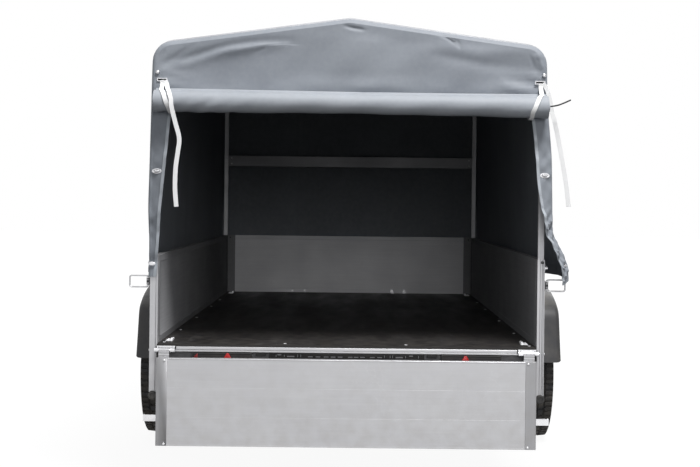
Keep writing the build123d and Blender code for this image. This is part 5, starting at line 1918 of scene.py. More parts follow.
@dataclass
class LoadBox(Part):
    """The load floor with its sill, boards, posts, rails and lashing rings."""

    post: float = 0.040
    foot: float = 0.345
    cap: float = 0.037
    rail_top: float = 0.508
    side_front: float = 2.485
    end_width: float = 0.026
    front_face: float = 2.500
    front_back: float = 2.525
    front_bolts: tuple[float, ...] = (-0.303, -0.234, 0.229, 0.294)
    post_screw_x: float = 0.661
    side_screws: tuple[float, ...] = (0.055, 0.48, 0.98, 1.54, 1.93, 2.43)
    side_screw_x: float = 0.627
    sill_screws: tuple[Flat, ...] = ((-0.212, 0.047), (0.203, 0.047))
    ring_places: Flat = (0.11, 2.39)
    ring_x: float = 0.5980

    def build(self) -> None:
        """Builds the box from the floor up."""
        self.keep("Film-faced plywood", "floor_panel")
        self.keep("Hot-dip galvanised steel", "side_rails", "cross_members")
        self.sill()
        self.side_boards()
        self.front_board()
        self.posts()
        self.feet()
        self.screws()
        self.rings()

    def sill(self) -> None:
        """The edge profile under the rear of the floor, with a groove along its face."""
        section = [(self.site.y(ahead), z) for ahead, z in (
            (0.0, 0.484), (0.0, 0.4893), (0.0045, 0.4893), (0.0045, 0.4917), (0.0, 0.4917),
            (0.0, 0.4992), (0.0008, 0.5008), (0.003, 0.5008), (0.003, 0.494), (0.040, 0.494),
            (0.040, 0.484))]
        obj = extruded("sill_profile", section, Axis.X, -self.site.half, self.site.half)
        self.dress(rounded(obj, 0.0004, 1), "Sill aluminium", stands_for=("rear_sill",))

    def side_boards(self) -> None:
        """One board with its end profiles, and its mirror image."""
        y, half, outer, top = self.site.y, self.site.half, self.site.outer, self.site.board_top
        low, seam = self.rail_top + 0.0015, 0.0012
        board = extruded("side-board", board_section(half, outer, self.rail_top, top), Axis.Y,
                         y(self.post), y(self.side_front))
        ends = [block(f"side-end-{k}", (half - 0.0008, y(at), low),
                      (outer - 0.002, y(at + self.end_width), top - 0.002))
                for k, at in enumerate((0.0403, 2.4587))]
        # Thin black strips on the inner face at the end profiles' joints, as painted shade in those
        # joints.
        seams = [block(f"side-seam-{k}", (half - 0.0004, y(at), low),
                       (half + 0.002, y(at + seam), top - 0.002))
                 for k, at in enumerate((0.0665, 2.4572))]
        right = rounded(joined("side_board_panel_right", [board, *ends]), 0.0006, 2)
        dark = rounded(joined("side_board_seams_right", seams), 0.0001, 1)
        left, left_dark = (flipped(piece, piece.name.replace("right", "left"))
                           for piece in (right, dark))
        for side, piece, line in ((Side.LEFT, left, left_dark), (Side.RIGHT, right, dark)):
            # The side boards take the aluminium painted darker, as painted shade inside the box.
            self.dress(piece, "Inner board", stands_for=(f"side_board_{side.label}",))
            self.dress(line, "Dark seam")

    def front_board(self) -> None:
        """The board across the front with its end profiles and bolts, and black pieces as painted
        shade in its holes, its gap lines and along its foot.
        """
        y, half, top, low = self.site.y, self.site.half, self.site.board_top, self.site.floor
        foot, inner = low + 0.0003, half - self.cap
        face, back = y(self.front_face), y(self.front_back)
        panel = extruded("front_panel", board_section(face, back, foot, top, 0.018), Axis.X,
                         -inner, inner)
        cap = [(inner, y(2.499)), (inner, back), (half, back), (half, y(2.501)),
               (half - 0.002, y(2.499))]
        ends = [rounded(extruded(f"front-end-{side.label}", [(x * side.value, at) for x, at in cap],
                                 Axis.Z, foot, top), 0.0012, 2) for side in Side]
        self.dress(rounded(panel, 0.0006, 2), "Front board aluminium", stands_for=("front_board",))
        # The front board's end profiles take the same darker aluminium, as painted shade.
        self.dress(joined("front_board_ends", ends), "Inner board")
        hole = top - 0.012
        gaps = [drum(f"front-hole-{k}", (x, y(2.4984), hole), (x, y(2.5005), hole), 0.0028, 12)
                for k, x in enumerate((-half + 0.012, half - 0.012))]
        gaps += [block(f"front-gap-{k}", (x - 0.0006, y(2.4986), low),
                       (x + 0.0006, y(2.501), top - 0.001)) for k, x in enumerate((-inner, inner))]
        gaps.append(block("front-foot", (-half, y(2.4988), low - 0.002),
                          (half, y(2.515), low + 0.0008)))
        self.dress(rounded(joined("front_board_gaps", gaps), 0.0001, 1), "Dark seam")
        bolt = hexagon("front-bolt", (0.0, y(2.4992), low + 0.0085), (0, -1, 0), 0.0062, 0.006)
        bolts = repeated(bolt, "front_board_bolts", [(x, 0, 0) for x in self.front_bolts])
        self.dress(bolts, "Zinc-plated steel")

    def post_section(self, grooves: Sequence[float]) -> list[Flat]:
        """Outline of a right rear post.

        Args:
            grooves: Where each groove in its rear face is across the trailer.

        Returns:
            The outline as (x, y) pairs.
        """
        y, half, outer = self.site.y, self.site.half, self.site.outer
        groove = ((0.0012, 0.0), (0.0008, 0.0035), (-0.0008, 0.0035), (-0.0012, 0.0))
        cut = [(x + dx, y(ahead)) for x in grooves for dx, ahead in groove]
        return [(half, y(self.post)), (outer, y(self.post)), (outer, y(0.022)),
                (outer - 0.001, y(0.021)), (outer - 0.001, y(0.019)), (outer, y(0.018)),
                (outer, y(0.0)), *cut, (half, y(0.0))]

    def posts(self) -> None:
        """Grooved corner posts with a lip and fixing screws."""
        y, half, outer, top = self.site.y, self.site.half, self.site.outer, self.site.board_top
        sections = [self.post_section(spots) for spots in (
            (outer - 0.0040, outer - 0.0085, outer - 0.0155), (half + 0.0045,))]
        right, start = (rounded(extruded(f"post-{k}", section, Axis.Z, self.foot, top), 0.0003, 1)
                        for k, section in enumerate(sections))
        left = flipped(start, "post-left")
        bpy.data.objects.remove(start)
        front = [(x, 2 * y(self.front_back / 2) - at) for x, at in sections[0]]
        fore = rounded(extruded("post-fore", front, Axis.Z, self.rail_top, top), 0.0003, 1)
        for pair, node in ((joined("corner_posts_rear", [left, right]), "rear_posts"),
                           (paired("corner_posts_front", fore), "front_posts")):
            self.dress(pair, "Brushed aluminium post", stands_for=(node,))
        lip = block("post_inner_lip", (-half - 0.0002, y(-0.0005), self.site.floor),
                    (-half + 0.0024, y(0.004), top))
        self.dress(rounded(lip, 0.0005, 2), "Sill aluminium")
        screw = dome("post-screw", (0.0, y(-0.0002), 0.0), (0, -1, 0), 0.0052, 0.0026)
        places = [(s * self.post_screw_x, 0, top - 0.010) for s in (-1, 1)]
        self.dress(repeated(screw, "post_screws", places), "Dark steel")

    def feet(self) -> None:
        """A plastic plug in the lower end of each rear post, with a round cap behind it."""
        y, half, outer, low = self.site.y, self.site.half, self.site.outer, self.foot - 0.010
        cap = drum("post-foot", (0.6575, y(-0.006), low), (0.6575, y(0.0), low), 0.0150, 40)
        pushed(cap, Way.BACK, 0.002, 0.0025)
        pushed(cap, Way.BACK, -0.0022, 0.0045)
        plug = block("foot-plug", (half + 0.002, y(0.001), self.foot - 0.004),
                     (outer - 0.002, y(self.post - 0.002), self.foot + 0.001))
        cap = rounded(joined("post-foot", [cap, plug]), 0.0006, 2)
        self.dress(paired("post_foot_caps", cap), "Black plastic", stands_for=("post_feet",))

    def screws(self) -> None:
        """Countersunk screws along the floor's edges and over its cross members."""
        y, low = self.site.y, self.site.floor
        screw = drum("floor-screw", (0, 0, low - 0.0004), (0, 0, low + 0.0011), 0.0055, 16)
        pushed(screw, Way.UP, -0.0006, 0.0022)
        smooth(screw)
        places = [(s * self.side_screw_x, y(at), 0) for s in (-1, 1) for at in self.side_screws]
        places += [(x, y(at), 0) for x, at in self.sill_screws]
        self.dress(repeated(screw, "floor_screws", places), "Ring zinc")

    def rings(self) -> None:
        """A plate with a bent ring and two screws at each corner of the floor."""
        low, hinge = self.site.floor, 0.010
        plate = block("ring-plate", (0.006, -0.022, low), (0.030, 0.022, low + 0.0022))
        pushed(plate, Way.UP, 0.0012, 0.003)
        saddle = drum("ring-saddle", (hinge, -0.009, low + 0.0052), (hinge, 0.009, low + 0.0052),
                      0.0048, 20)
        loop = [(hinge - reach, across, low + 0.0055 + 0.30 * reach) for reach, across in (
            (0.0, 0.013), (0.004, 0.0185), (0.016, 0.0200), (0.032, 0.0170), (0.0440, 0.0090),
            (0.0470, 0.0))]
        loop += [(x, -across, z) for x, across, z in reversed(loop[:-1])]
        ring = wire("ring-bar", loop, 0.0040)
        heads = [dome(f"ring-screw-{k}", (0.023, at, low + 0.0034), (0, 0, 1), 0.0042, 0.0024)
                 for k, at in enumerate((-0.013, 0.013))]
        foot = rounded(joined("ring-foot", [plate, saddle]), 0.0006, 2)
        places = [(self.ring_x, self.site.y(at), 0) for at in self.ring_places]
        right = repeated(joined("lashing", [foot, ring, *heads]), "lashing-right", places)
        self.dress(paired("lashing_ring_set", right), "Ring zinc", stands_for=("lashing_rings",))


# --- Tailgate ---------------------------------------------------------------------------------
@dataclass
class Tailgate(Part):
    """The tailgate as it hangs open, with its hinges and keepers."""

    half: float = 0.640
    cap: float = 0.037
    low: float = 0.171
    high: float = 0.466
    back: float = -0.043
    face: float = -0.018
    hinge_x: float = 0.600
    hinge_fixing: float = 0.0095
    keeper_x: Flat = (0.615, 0.630)
    keeper_z: float = 0.260

    def build(self) -> None:
        """Builds the panel, its profiles and its fittings."""
        self.keep("Zinc-plated steel", "tailgate_hinges")
        self.keep("Bright zinc", "sill_hinges", "tailgate_keepers")
        self.panel()
        self.ends()
        self.hinge_gaps()
        self.fixings()

    def panel(self) -> None:
        """A hollow panel with shallow lines along it, between its top and bottom profiles."""
        y, inner = self.site.y, self.half - self.cap
        section = board_section(y(self.face), y(self.back), self.low, self.high, 0.0052, 0.0005)
        obj = rounded(extruded("tailgate_skin", section, Axis.X, -inner, inner), 0.0003, 1)
        self.dress(obj, "Aluminium board", "tailgate", ("tailgate_panel",))
        edge = block("tailgate_top_edge",
                     (-inner + 0.0005, y(self.back - 0.0006), self.high - 0.0058),
                     (inner - 0.0005, y(self.face + 0.0002), self.high + 0.0003))
        self.dress(rounded(edge, 0.0022, 3), "Sill aluminium", "tailgate")

    def ends(self) -> None:
        """Rounded end profiles with a rivet near each of their ends."""
        y, half, inner = self.site.y, self.half, self.half - self.cap
        face, back = y(self.face), y(self.back)
        section = [(inner, face), (inner, back), (inner + 0.0005, back - 0.0009),
                   (half - 0.003, back - 0.0009), (half - 0.0008, back + 0.0006),
                   (half, back + 0.003), (half, face - 0.001), (half - 0.001, face)]
        right = rounded(extruded("gate-end", section, Axis.Z, self.low, self.high), 0.0005, 1)
        self.dress(paired("tailgate_end_profiles", right), "End profile aluminium", "tailgate",
                   ("tailgate_caps",))
        rivet = dome("gate-rivet", (0, back - 0.0008, 0), (0, -1, 0), 0.0042, 0.0030)
        places = [(s * (half - 0.0280), 0, z)
                  for s in (-1, 1) for z in (self.high - 0.0065, self.low + 0.007)]
        self.dress(repeated(rivet, "tailgate_rivets", places), "Bright zinc", "tailgate")

    def hinge_gaps(self) -> None:
        """Black lines between the leaves of the hinges and black slots in the sill, as painted
        shade in those gaps.
        """
        y = self.site.y
        back, front, top = y(self.face + 0.0046), y(self.face - 0.0003), self.high
        lines = [block(f"hinge-line-{k}", (0.5985, back, z), (0.6362, front, z + high))
                 for k, (z, high) in enumerate(((top + 0.0135, 0.0016), (top + 0.0040, 0.0012)))]
        lines.append(block("hinge-side", (0.6364, back, top - 0.001),
                           (0.6440, y(self.face + 0.0058), top + 0.014)))
        slots = [block(f"hinge-slot-{k}", (x, y(-0.0036), 0.4925), (x + 0.0036, y(0.0004), 0.5012))
                 for k, x in enumerate((0.5788, 0.6436))]
        for name, body, pieces in (("hinge_lines", "tailgate", lines),
                                   ("hinge_slots", "chassis", slots)):
            dark = rounded(joined(f"{name}-right", pieces), 0.0001, 1)
            self.dress(paired(name, dark), "Dark seam", body)

    def fixings(self) -> None:
        """Bolts on the hinge leaves, rivets on the keepers, and the hinges' screws and pins."""
        y, off, zinc = self.site.y, self.hinge_fixing, "Zinc-plated steel"
        bolt = hexagon("leaf-bolt", (0, y(self.face + 0.0048), 0), (0, 1, 0), 0.0052, 0.0048)
        places = [(s * (self.hinge_x + 0.018) + dx, 0, self.high - 0.022)
                  for s in (-1, 1) for dx in (-off, off)]
        self.dress(repeated(bolt, "hinge_leaf_bolts", places), zinc, "tailgate")
        rivet = dome("keeper-rivet", (0, y(self.face + 0.0028), 0), (0, 1, 0), 0.0042, 0.0022)
        places = [(s * x, 0, self.keeper_z) for s in (-1, 1) for x in self.keeper_x]
        self.dress(repeated(rivet, "keeper_rivets", places), zinc, "tailgate")
        height, reach = self.site.hinge, 0.0012
        pin = drum("pin-end", (0, y(-0.012), height), (reach, y(-0.012), height), 0.0038, 16)
        pushed(pin, Way.OUT, 0.0006, 0.001)
        clamp = dome("clamp-screw", (0, y(-0.0028), 0.4985), (0, -1, 0), 0.0032, 0.0016)
        places = [(s * (self.hinge_x + dx), 0, 0) for s in (-1, 1) for dx in (-off, 0.0405)]
        dots = repeated(clamp, "sill-hinge-screws", places)
        ends = repeated(pin, "pin-ends", [(0.6678, 0, 0)])
        pieces = [dots, ends, flipped(ends, "pin-ends-left")]
        self.dress(joined("sill_hinge_fixings", pieces), zinc)


# --- Latches and lights -----------------------------------------------------------------------
@dataclass
class Latches(Part):
    """The wire bails on the posts, their bases, springs and bolts."""

    base_x: float = 0.673
    pivot: Flat = (0.679, 0.020)
    height: float = 0.720
    bolt_gap: float = 0.0098
    coils: tuple[float, ...] = (-0.0085, -0.0055, 0.0044, 0.0074)
    ears: Flat = (-0.0146, 0.0132)

    def build(self) -> None:
        """Dresses the bails and adds the fixings of their bases."""
        self.keep("Zinc-plated steel", "latch_bail_left", "latch_bail_right")
        self.keep("Dark steel", "latch_bases")
        x, middle, height = self.pivot[0], self.pivot[1], self.height
        y = self.site.y(middle)
        bolts = [hexagon(f"latch-bolt-{k}", (self.base_x, self.site.y(middle + dy), height),
                         (1, 0, 0), 0.0038, 0.0034)
                 for k, dy in enumerate((-self.bolt_gap, self.bolt_gap))]
        coils = [drum(f"latch-coil-{k}", (x, y, height + z), (x, y, height + z + 0.0012), 0.0066,
                      24)
                 for k, z in enumerate(self.coils)]
        ears = [block(f"latch-ear-{k}", (0.6732, self.site.y(0.0130), height + z),
                      (0.6862, self.site.y(0.0270), height + z + 0.0014))
                for k, z in enumerate(self.ears)]
        coil = rounded(joined("coils", [*coils, *ears]), 0.0003, 1)
        self.dress(paired("latch_bolts", joined("latch-bolts", bolts)), "Dark steel")
        self.dress(paired("latch_coils", coil), "Bright zinc")


@dataclass
class LightBar(Part):
    """The lamps and the blank plate holder on the sheet under the sill."""

    lamp_x: Flat = (0.322, 0.526)
    lamp_z: Flat = (0.353, 0.481)
    board_y: float = 0.028
    lens_y: float = 0.000
    plate_half: float = 0.265
    plate_low: float = 0.363
    plate_clips: tuple[float, ...] = (-0.20, -0.07, 0.07, 0.20)
    plate_lamp_x: float = 0.292
    tabs: tuple[float, ...] = (-0.1234, -0.0975, -0.0695, -0.0457, -0.0221, 0.0126, 0.0327,
                               0.0545, 0.0879, 0.1128)
    bars: tuple[float, ...] = (-0.2400, -0.2120, -0.1667, -0.1560, 0.1290, 0.1485, 0.1570,
                               0.2011, 0.2450)
    longs: Flat = (-0.1905, 0.1797)
    ovals: Flat = (-0.2294, 0.2197)

    def build(self) -> None:
        """Builds the lamps on both sides and the holder between them."""
        # The light board's galvanised sheet is painted darker, as painted shade under the sill.
        self.keep("Dull zinc sheet", "light_board")
        self.lamps()
        self.holder()

    def signs(self, splits: Sequence[float]) -> list[Obj]:
        """The raised reflecting triangle and the wedge at the right lamp's outer edge.

        Args:
            splits: The lines between the lamp's fields.

        Returns:
            The triangle and the wedge.
        """
        x1, z1, face = self.lamp_x[1], self.lamp_z[1], self.lens_y
        middle, foot, tip = (splits[2] + splits[3]) / 2, z1 - 0.062, z1 - 0.0008
        corners = [(middle - 0.034, foot), (middle - 0.036, foot + 0.003),
                   (middle - 0.004, tip - 0.001), (middle, tip), (middle + 0.004, tip - 0.001),
                   (middle + 0.036, foot + 0.003), (middle + 0.034, foot)]
        wedge = [(x1 - 0.021, z1 - 0.030), (x1 - 0.021, z1 - 0.002), (x1 - 0.013, z1 - 0.008),
                 (x1 - 0.004, z1 - 0.020), (x1 - 0.004, z1 - 0.030)]
        return [rounded(extruded(name, outline, Axis.Y, self.site.y(face - out),
                                 self.site.y(face + depth)), bevel, 2)
                for name, outline, out, depth, bevel in (
                    ("lamp_triangle_right", corners, 0.0052, 0.004, 0.0012),
                    ("lamp_wedge_right", wedge, 0.0045, 0.006, 0.0010))]

    def lamps(self) -> None:
        """A black body with lens fields and a triangular reflector, on each side."""
        y, (x0, x1), (z0, z1) = self.site.y, self.lamp_x, self.lamp_z
        body = block("lamp_body_right", (x0, y(self.lens_y), z0), (x1, y(self.board_y), z1))
        pushed(body, Way.BACK, -0.002, 0.005)
        pieces = [(rounded(body, 0.006, 4), "Black plastic", ("tail_lamps",))]
        splits = [x0 + 0.007, x0 + 0.045, 0.3735, 0.4345, x1 - 0.045, x1 - 0.007]
        fields = [("amber", 0, "Amber lens"), ("brake", 1, "Red lens"), ("tail", 3, "Red lens"),
                  ("fog", 4, "Red lens")]
        for name, k, finish in fields:
            lens = block(f"lamp_{name}_right",
                         (splits[k] + 0.0008, y(self.lens_y - 0.004), z0 + 0.007),
                         (splits[k + 1], y(self.lens_y + 0.006), z1 - 0.021))
            pushed(lens, Way.BACK, 0.0015, 0.004)
            pieces.append((rounded(lens, 0.0018, 3), finish, ()))
        triangle, wedge = self.signs(splits)
        pieces += [(triangle, "Red reflector", ()), (wedge, "Red lens", ())]
        for piece, finish, nodes in pieces:
            self.dress(flipped(piece, piece.name.replace("right", "left")), finish)
            if piece is wedge:
                bpy.data.objects.remove(piece)
            else:
                self.dress(piece, finish, stands_for=nodes)

    def moulding(self, face: float) -> None:
        """The ribs and tabs moulded along the top of the plate's frame, painted light grey as
        painted highlight.

        Args:
            face: The frame's rear face.
        """
        rows = []
        for name, half, out, top, spots in (("tab", 0.0080, 0.0012, 0.4700, self.tabs),
                                            ("bar", 0.0010, 0.0014, 0.4758, self.bars),
                                            ("long", 0.0125, 0.0012, 0.4716, self.longs)):
            piece = block(f"plate-{name}", (-half, face - out, 0.4672), (half, face + 0.001, top))
            rows.append((piece, spots))
        oval = drum("plate-oval", (0, face - 0.0014, 0.4745), (0, face + 0.001, 0.4745), 0.0022, 24)
        oval.data.transform(Matrix.Diagonal((3.4, 1, 1, 1)))
        rows.append((oval, self.ovals))
        pieces = [repeated(rounded(piece, 0.0004, 1), f"{piece.name}s", [(x, 0, 0) for x in spots])
                  for piece, spots in rows]
        self.dress(joined("plate_frame_tabs", pieces), "Grey moulding")

    def holder(self) -> None:
        """A black frame for the plate, left blank, with its clips and its two lamps."""
        y, half = self.site.y, self.plate_half
        face, top = y(self.board_y - 0.011), self.lamp_z[1]
        frame = block("plate-frame", (-half, face, self.plate_low), (half, y(self.board_y), top))
        with editing(frame):
            pick_faces(frame, lambda c, n: n.y < -0.9)
            for border, step in ((0.006, 0.005), (0.003, -0.002)):
                bpy.ops.mesh.inset(thickness=border, depth=0)
                bpy.ops.mesh.extrude_region_move(TRANSFORM_OT_translate={"value": (0, step, 0)})
        clip = block("plate-clip", (-0.012, y(self.board_y - 0.0138), top - 0.0065),
                     (0.012, y(self.board_y - 0.010), top - 0.0005))
        pushed(clip, Way.DOWN, 0.005, 0.002)
        clips = repeated(clip, "plate-clips", [(x, 0, 0) for x in self.plate_clips])
        obj = rounded(joined("plate_frame", [frame, clips]), 0.0012, 2)
        self.dress(obj, "Black plastic", stands_for=("plate_holder",))
        self.moulding(face)
        lamp = block("plate-lamp", (-0.019, y(0.008), 0.4815), (0.019, y(0.0275), 0.4835))
        pushed(lamp, Way.DOWN, 0.0105, 0.0015)
        places = [(s * self.plate_lamp_x, 0, 0) for s in (-1, 1)]
        self.dress(repeated(rounded(lamp, 0.0016, 2), "plate_lamps", places), "Black plastic")


# --- Running gear -----------------------------------------------------------------------------
@dataclass
class Wheels(Part):
    """The tyres with their tread, the wheels' bolts and valves, and the mudguards."""

    middle: float = 0.7715
    radius: float = 0.289
    half: float = 0.0785
    bead: float = 0.165
    steps: int = 144
    rib: float = 0.0272
    tread_depth: float = 0.0045
    disc: float = 0.7835
    bolt_circle: float = 0.050
    valve_circle: float = 0.138
    guard_radius: float = 0.356
    guard_x: Flat = (0.670, 0.858)
    guard_low: float = 0.354
    guard_lean: float = 0.055
    guard_bolt_circle: float = 0.326
    guard_narrows: tuple[Point, ...] = ((0.377, 0.555, 0.651), (0.0, 0.002, 0.010))
    guard_swell: tuple[tuple[float, ...], ...] = (
        (10.0, 20.0, 28.0, 35.0, 40.0, 43.5, 47.0, 51.0, 58.0, 66.0, 75.0, 90.0),
        (0.993, 0.992, 1.014, 1.058, 1.100, 1.118, 1.112, 1.098, 1.066, 1.034, 1.012, 1.0))

    def build(self) -> None:
        """Builds both sides."""
        tyre = self.tyre()
        for side, piece in ((Side.LEFT, flipped(tyre, "tyre_tread_left")), (Side.RIGHT, tyre)):
            self.dress(piece, "Tyre rubber", f"wheel_{side.label}", (f"tyre_{side.label}",))
        self.keep("Silver wheel paint", "rim_left", "rim_right")
        self.keep("Cast hub", "hub_left", "hub_right")
        for piece, name, finish in ((self.bolts(), "wheel_bolts_left", "Zinc-plated steel"),
                                    (self.valve(), "valve_left", "Black plastic")):
            other = flipped(piece, name)
            self.dress(piece, finish, "wheel_right")
            self.dress(other, finish, "wheel_left")
        self.guards()

    def round_axle(self, x: float, radius: float, turn: float) -> Point:
        """A place at a distance from the axle and an angle in degrees, from +Y towards +Z."""
        (y, z), angle = self.site.axle, math.radians(turn)
        return (x, y + radius * math.cos(angle), z + radius * math.sin(angle))

    def tyre(self) -> Obj:
        """A tyre with rounded walls, four grooves round its tread and sipes across the blocks.

        Returns:
            The right tyre, smooth.
        """
        m, r, bead = self.middle, self.radius, self.bead
        right = [(0.0585, bead), (0.0605, bead + 0.004), (0.0660, bead + 0.012),
                 (0.0668, bead + 0.0135), (0.0672, bead + 0.0155), (0.0738, 0.196),
                 (0.0776, 0.214), (0.0784, 0.228), (0.0779, 0.243), (0.0781, 0.245),
                 (0.0777, 0.2465), (0.0775, 0.262), (0.0762, 0.2755), (0.0722, 0.2846)]
        for groove in (0.0405, 0.0140):
            crown = r - 0.0045 * (groove / self.half) ** 2
            right += [(groove + 0.0040, crown - 0.0003), (groove + 0.0032, crown - 0.0068),
                      (groove - 0.0032, crown - 0.0068), (groove - 0.0040, crown)]
        section = [(m + x, rad) for x, rad in right + [(-x, rad) for x, rad in reversed(right)]]
        obj = spun("tyre_tread_right", section, self.site.axle, self.steps)
        cy, cz = self.site.axle
        pitch = math.tau / self.steps

        def has_sipe(c: Vector, _: Vector) -> bool:
            """Says whether a tread face has a sipe.

            Args:
                c: The face's middle.
                _: Its normal, which doesn't matter.

            Returns:
                Yes for one face in three, or in two at the shoulder, staggered from rib to rib.
            """
            rib = int(abs(c.x - m) / self.rib)
            turn = int(round(math.atan2(c.z - cz, c.y - cy) / pitch - 0.5))
            depth = r - math.hypot(c.y - cy, c.z - cz)
            every, deepest = (2, 0.020) if rib == 2 else (3, self.tread_depth)
            return (turn + rib) % every == 0 and depth < deepest

        with editing(obj):
            count = pick_faces(obj, has_sipe)
            bpy.ops.mesh.inset(thickness=0.0018, depth=-self.tread_depth, use_individual=True)
        LOG.info("%d grooves across the tread", count)
        return smooth(obj)

    def bolts(self) -> Obj:
        """The right wheel's bolts.

        Returns:
            All four in one object.
        """
        places = [self.round_axle(self.disc, self.bolt_circle, 45 + 90 * k) for k in range(4)]
        bolts = [hexagon(f"wheel-bolt-{k}", place, (1, 0, 0), 0.0098, 0.0145)
                 for k, place in enumerate(places)]
        return joined("wheel_bolts_right", bolts)

    def valve(self) -> Obj:
        """The right wheel's valve.

        Returns:
            Its stem and cap in one object.
        """
        foot = self.round_axle(self.disc + 0.006, self.valve_circle, 18)
        tip = (foot[0] + 0.026, foot[1] - 0.006, foot[2] - 0.002)
        stem = drum("valve-stem", foot, tip, 0.0042, 16)
        cap = drum("valve-cap", tip, (tip[0] + 0.008, tip[1] - 0.002, tip[2]), 0.0050, 10)
        return rounded(joined("valve_right", [stem, cap]), 0.0008, 2)

    def guards(self) -> None:
        """Both mudguards, the right one leaning out a little, and their bolts."""
        guard = self.guard()
        left = flipped(guard, "mudguard_shell_left")
        for vertex in guard.data.vertices:
            vertex.co.x += self.guard_lean * (vertex.co.x - self.guard_x[0])
        for piece, node in ((left, "mudguard_left"), (guard, "mudguard_right")):
            self.dress(piece, "Mudguard plastic", stands_for=(node,))
        places = [self.round_axle(0.6742, self.guard_bolt_circle, turn) for turn in (40, 90, 140)]
        bolts = [hexagon(f"guard-bolt-{k}", place, (1, 0, 0), 0.0075, 0.007)
                 for k, place in enumerate(places)]
        self.dress(paired("mudguard_bolts", joined("guard-bolts", bolts)), "Zinc-plated steel")

    def guard(self) -> Obj:
        """A moulded arch with a chamfered shoulder, a stiffening step and a rolled lip.

        Returns:
            The right mudguard before it leans out.
        """
        (x0, x1), r, thick = self.guard_x, self.guard_radius, 0.0034
        outer = [(x0, r - 0.034), (x0, r - 0.003), (x0 + 0.003, r), (x0 + 0.060, r),
                 (x0 + 0.064, r - 0.0022), (x1 - 0.058, r - 0.0022), (x1 - 0.050, r - 0.0025),
                 (x1 - 0.018, r - 0.0045), (x1 - 0.007, r - 0.0080), (x1 - 0.0012, r - 0.0140),
                 (x1, r - 0.022), (x1, r - 0.046), (x1 - 0.003, r - 0.048)]
        inner = [(x1 - 0.003 - thick, r - 0.046), (x1 - thick, r - 0.023),
                 (x1 - thick - 0.0012, r - 0.016), (x1 - 0.010, r - 0.0112),
                 (x1 - 0.019, r - 0.0080), (x1 - 0.051, r - 0.0060), (x1 - 0.059, r - 0.0056),
                 (x0 + 0.063, r - 0.0056), (x0 + 0.059, r - thick), (x0 + 0.0050, r - thick),
                 (x0 + thick, r - 0.005), (x0 + thick, r - 0.034)]
        low = math.degrees(math.asin(0.065 / r))
        obj = spun("mudguard_shell_right", outer + inner, self.site.axle, 60, (low, 180.0 - low))
        cy, cz = self.site.axle
        for vertex in obj.data.vertices:
            y, z = vertex.co.y - cy, vertex.co.z - cz
            turn = 90.0 - abs(math.degrees(math.atan2(z, y)) - 90.0)
            swell = float(np.interp(turn, *self.guard_swell))
            corner = max(0.0, (vertex.co.x - x1 + 0.014) / 0.014) ** 2 * 0.008
            vertex.co.y, vertex.co.z = cy + y * swell, max(cz + z * swell, self.guard_low + corner)
            narrow = float(np.interp(vertex.co.z, *self.guard_narrows)) / (x1 - x0)
            vertex.co.x -= narrow * (vertex.co.x - x0)
        return rounded(obj, 0.0010, 2, 40.0)


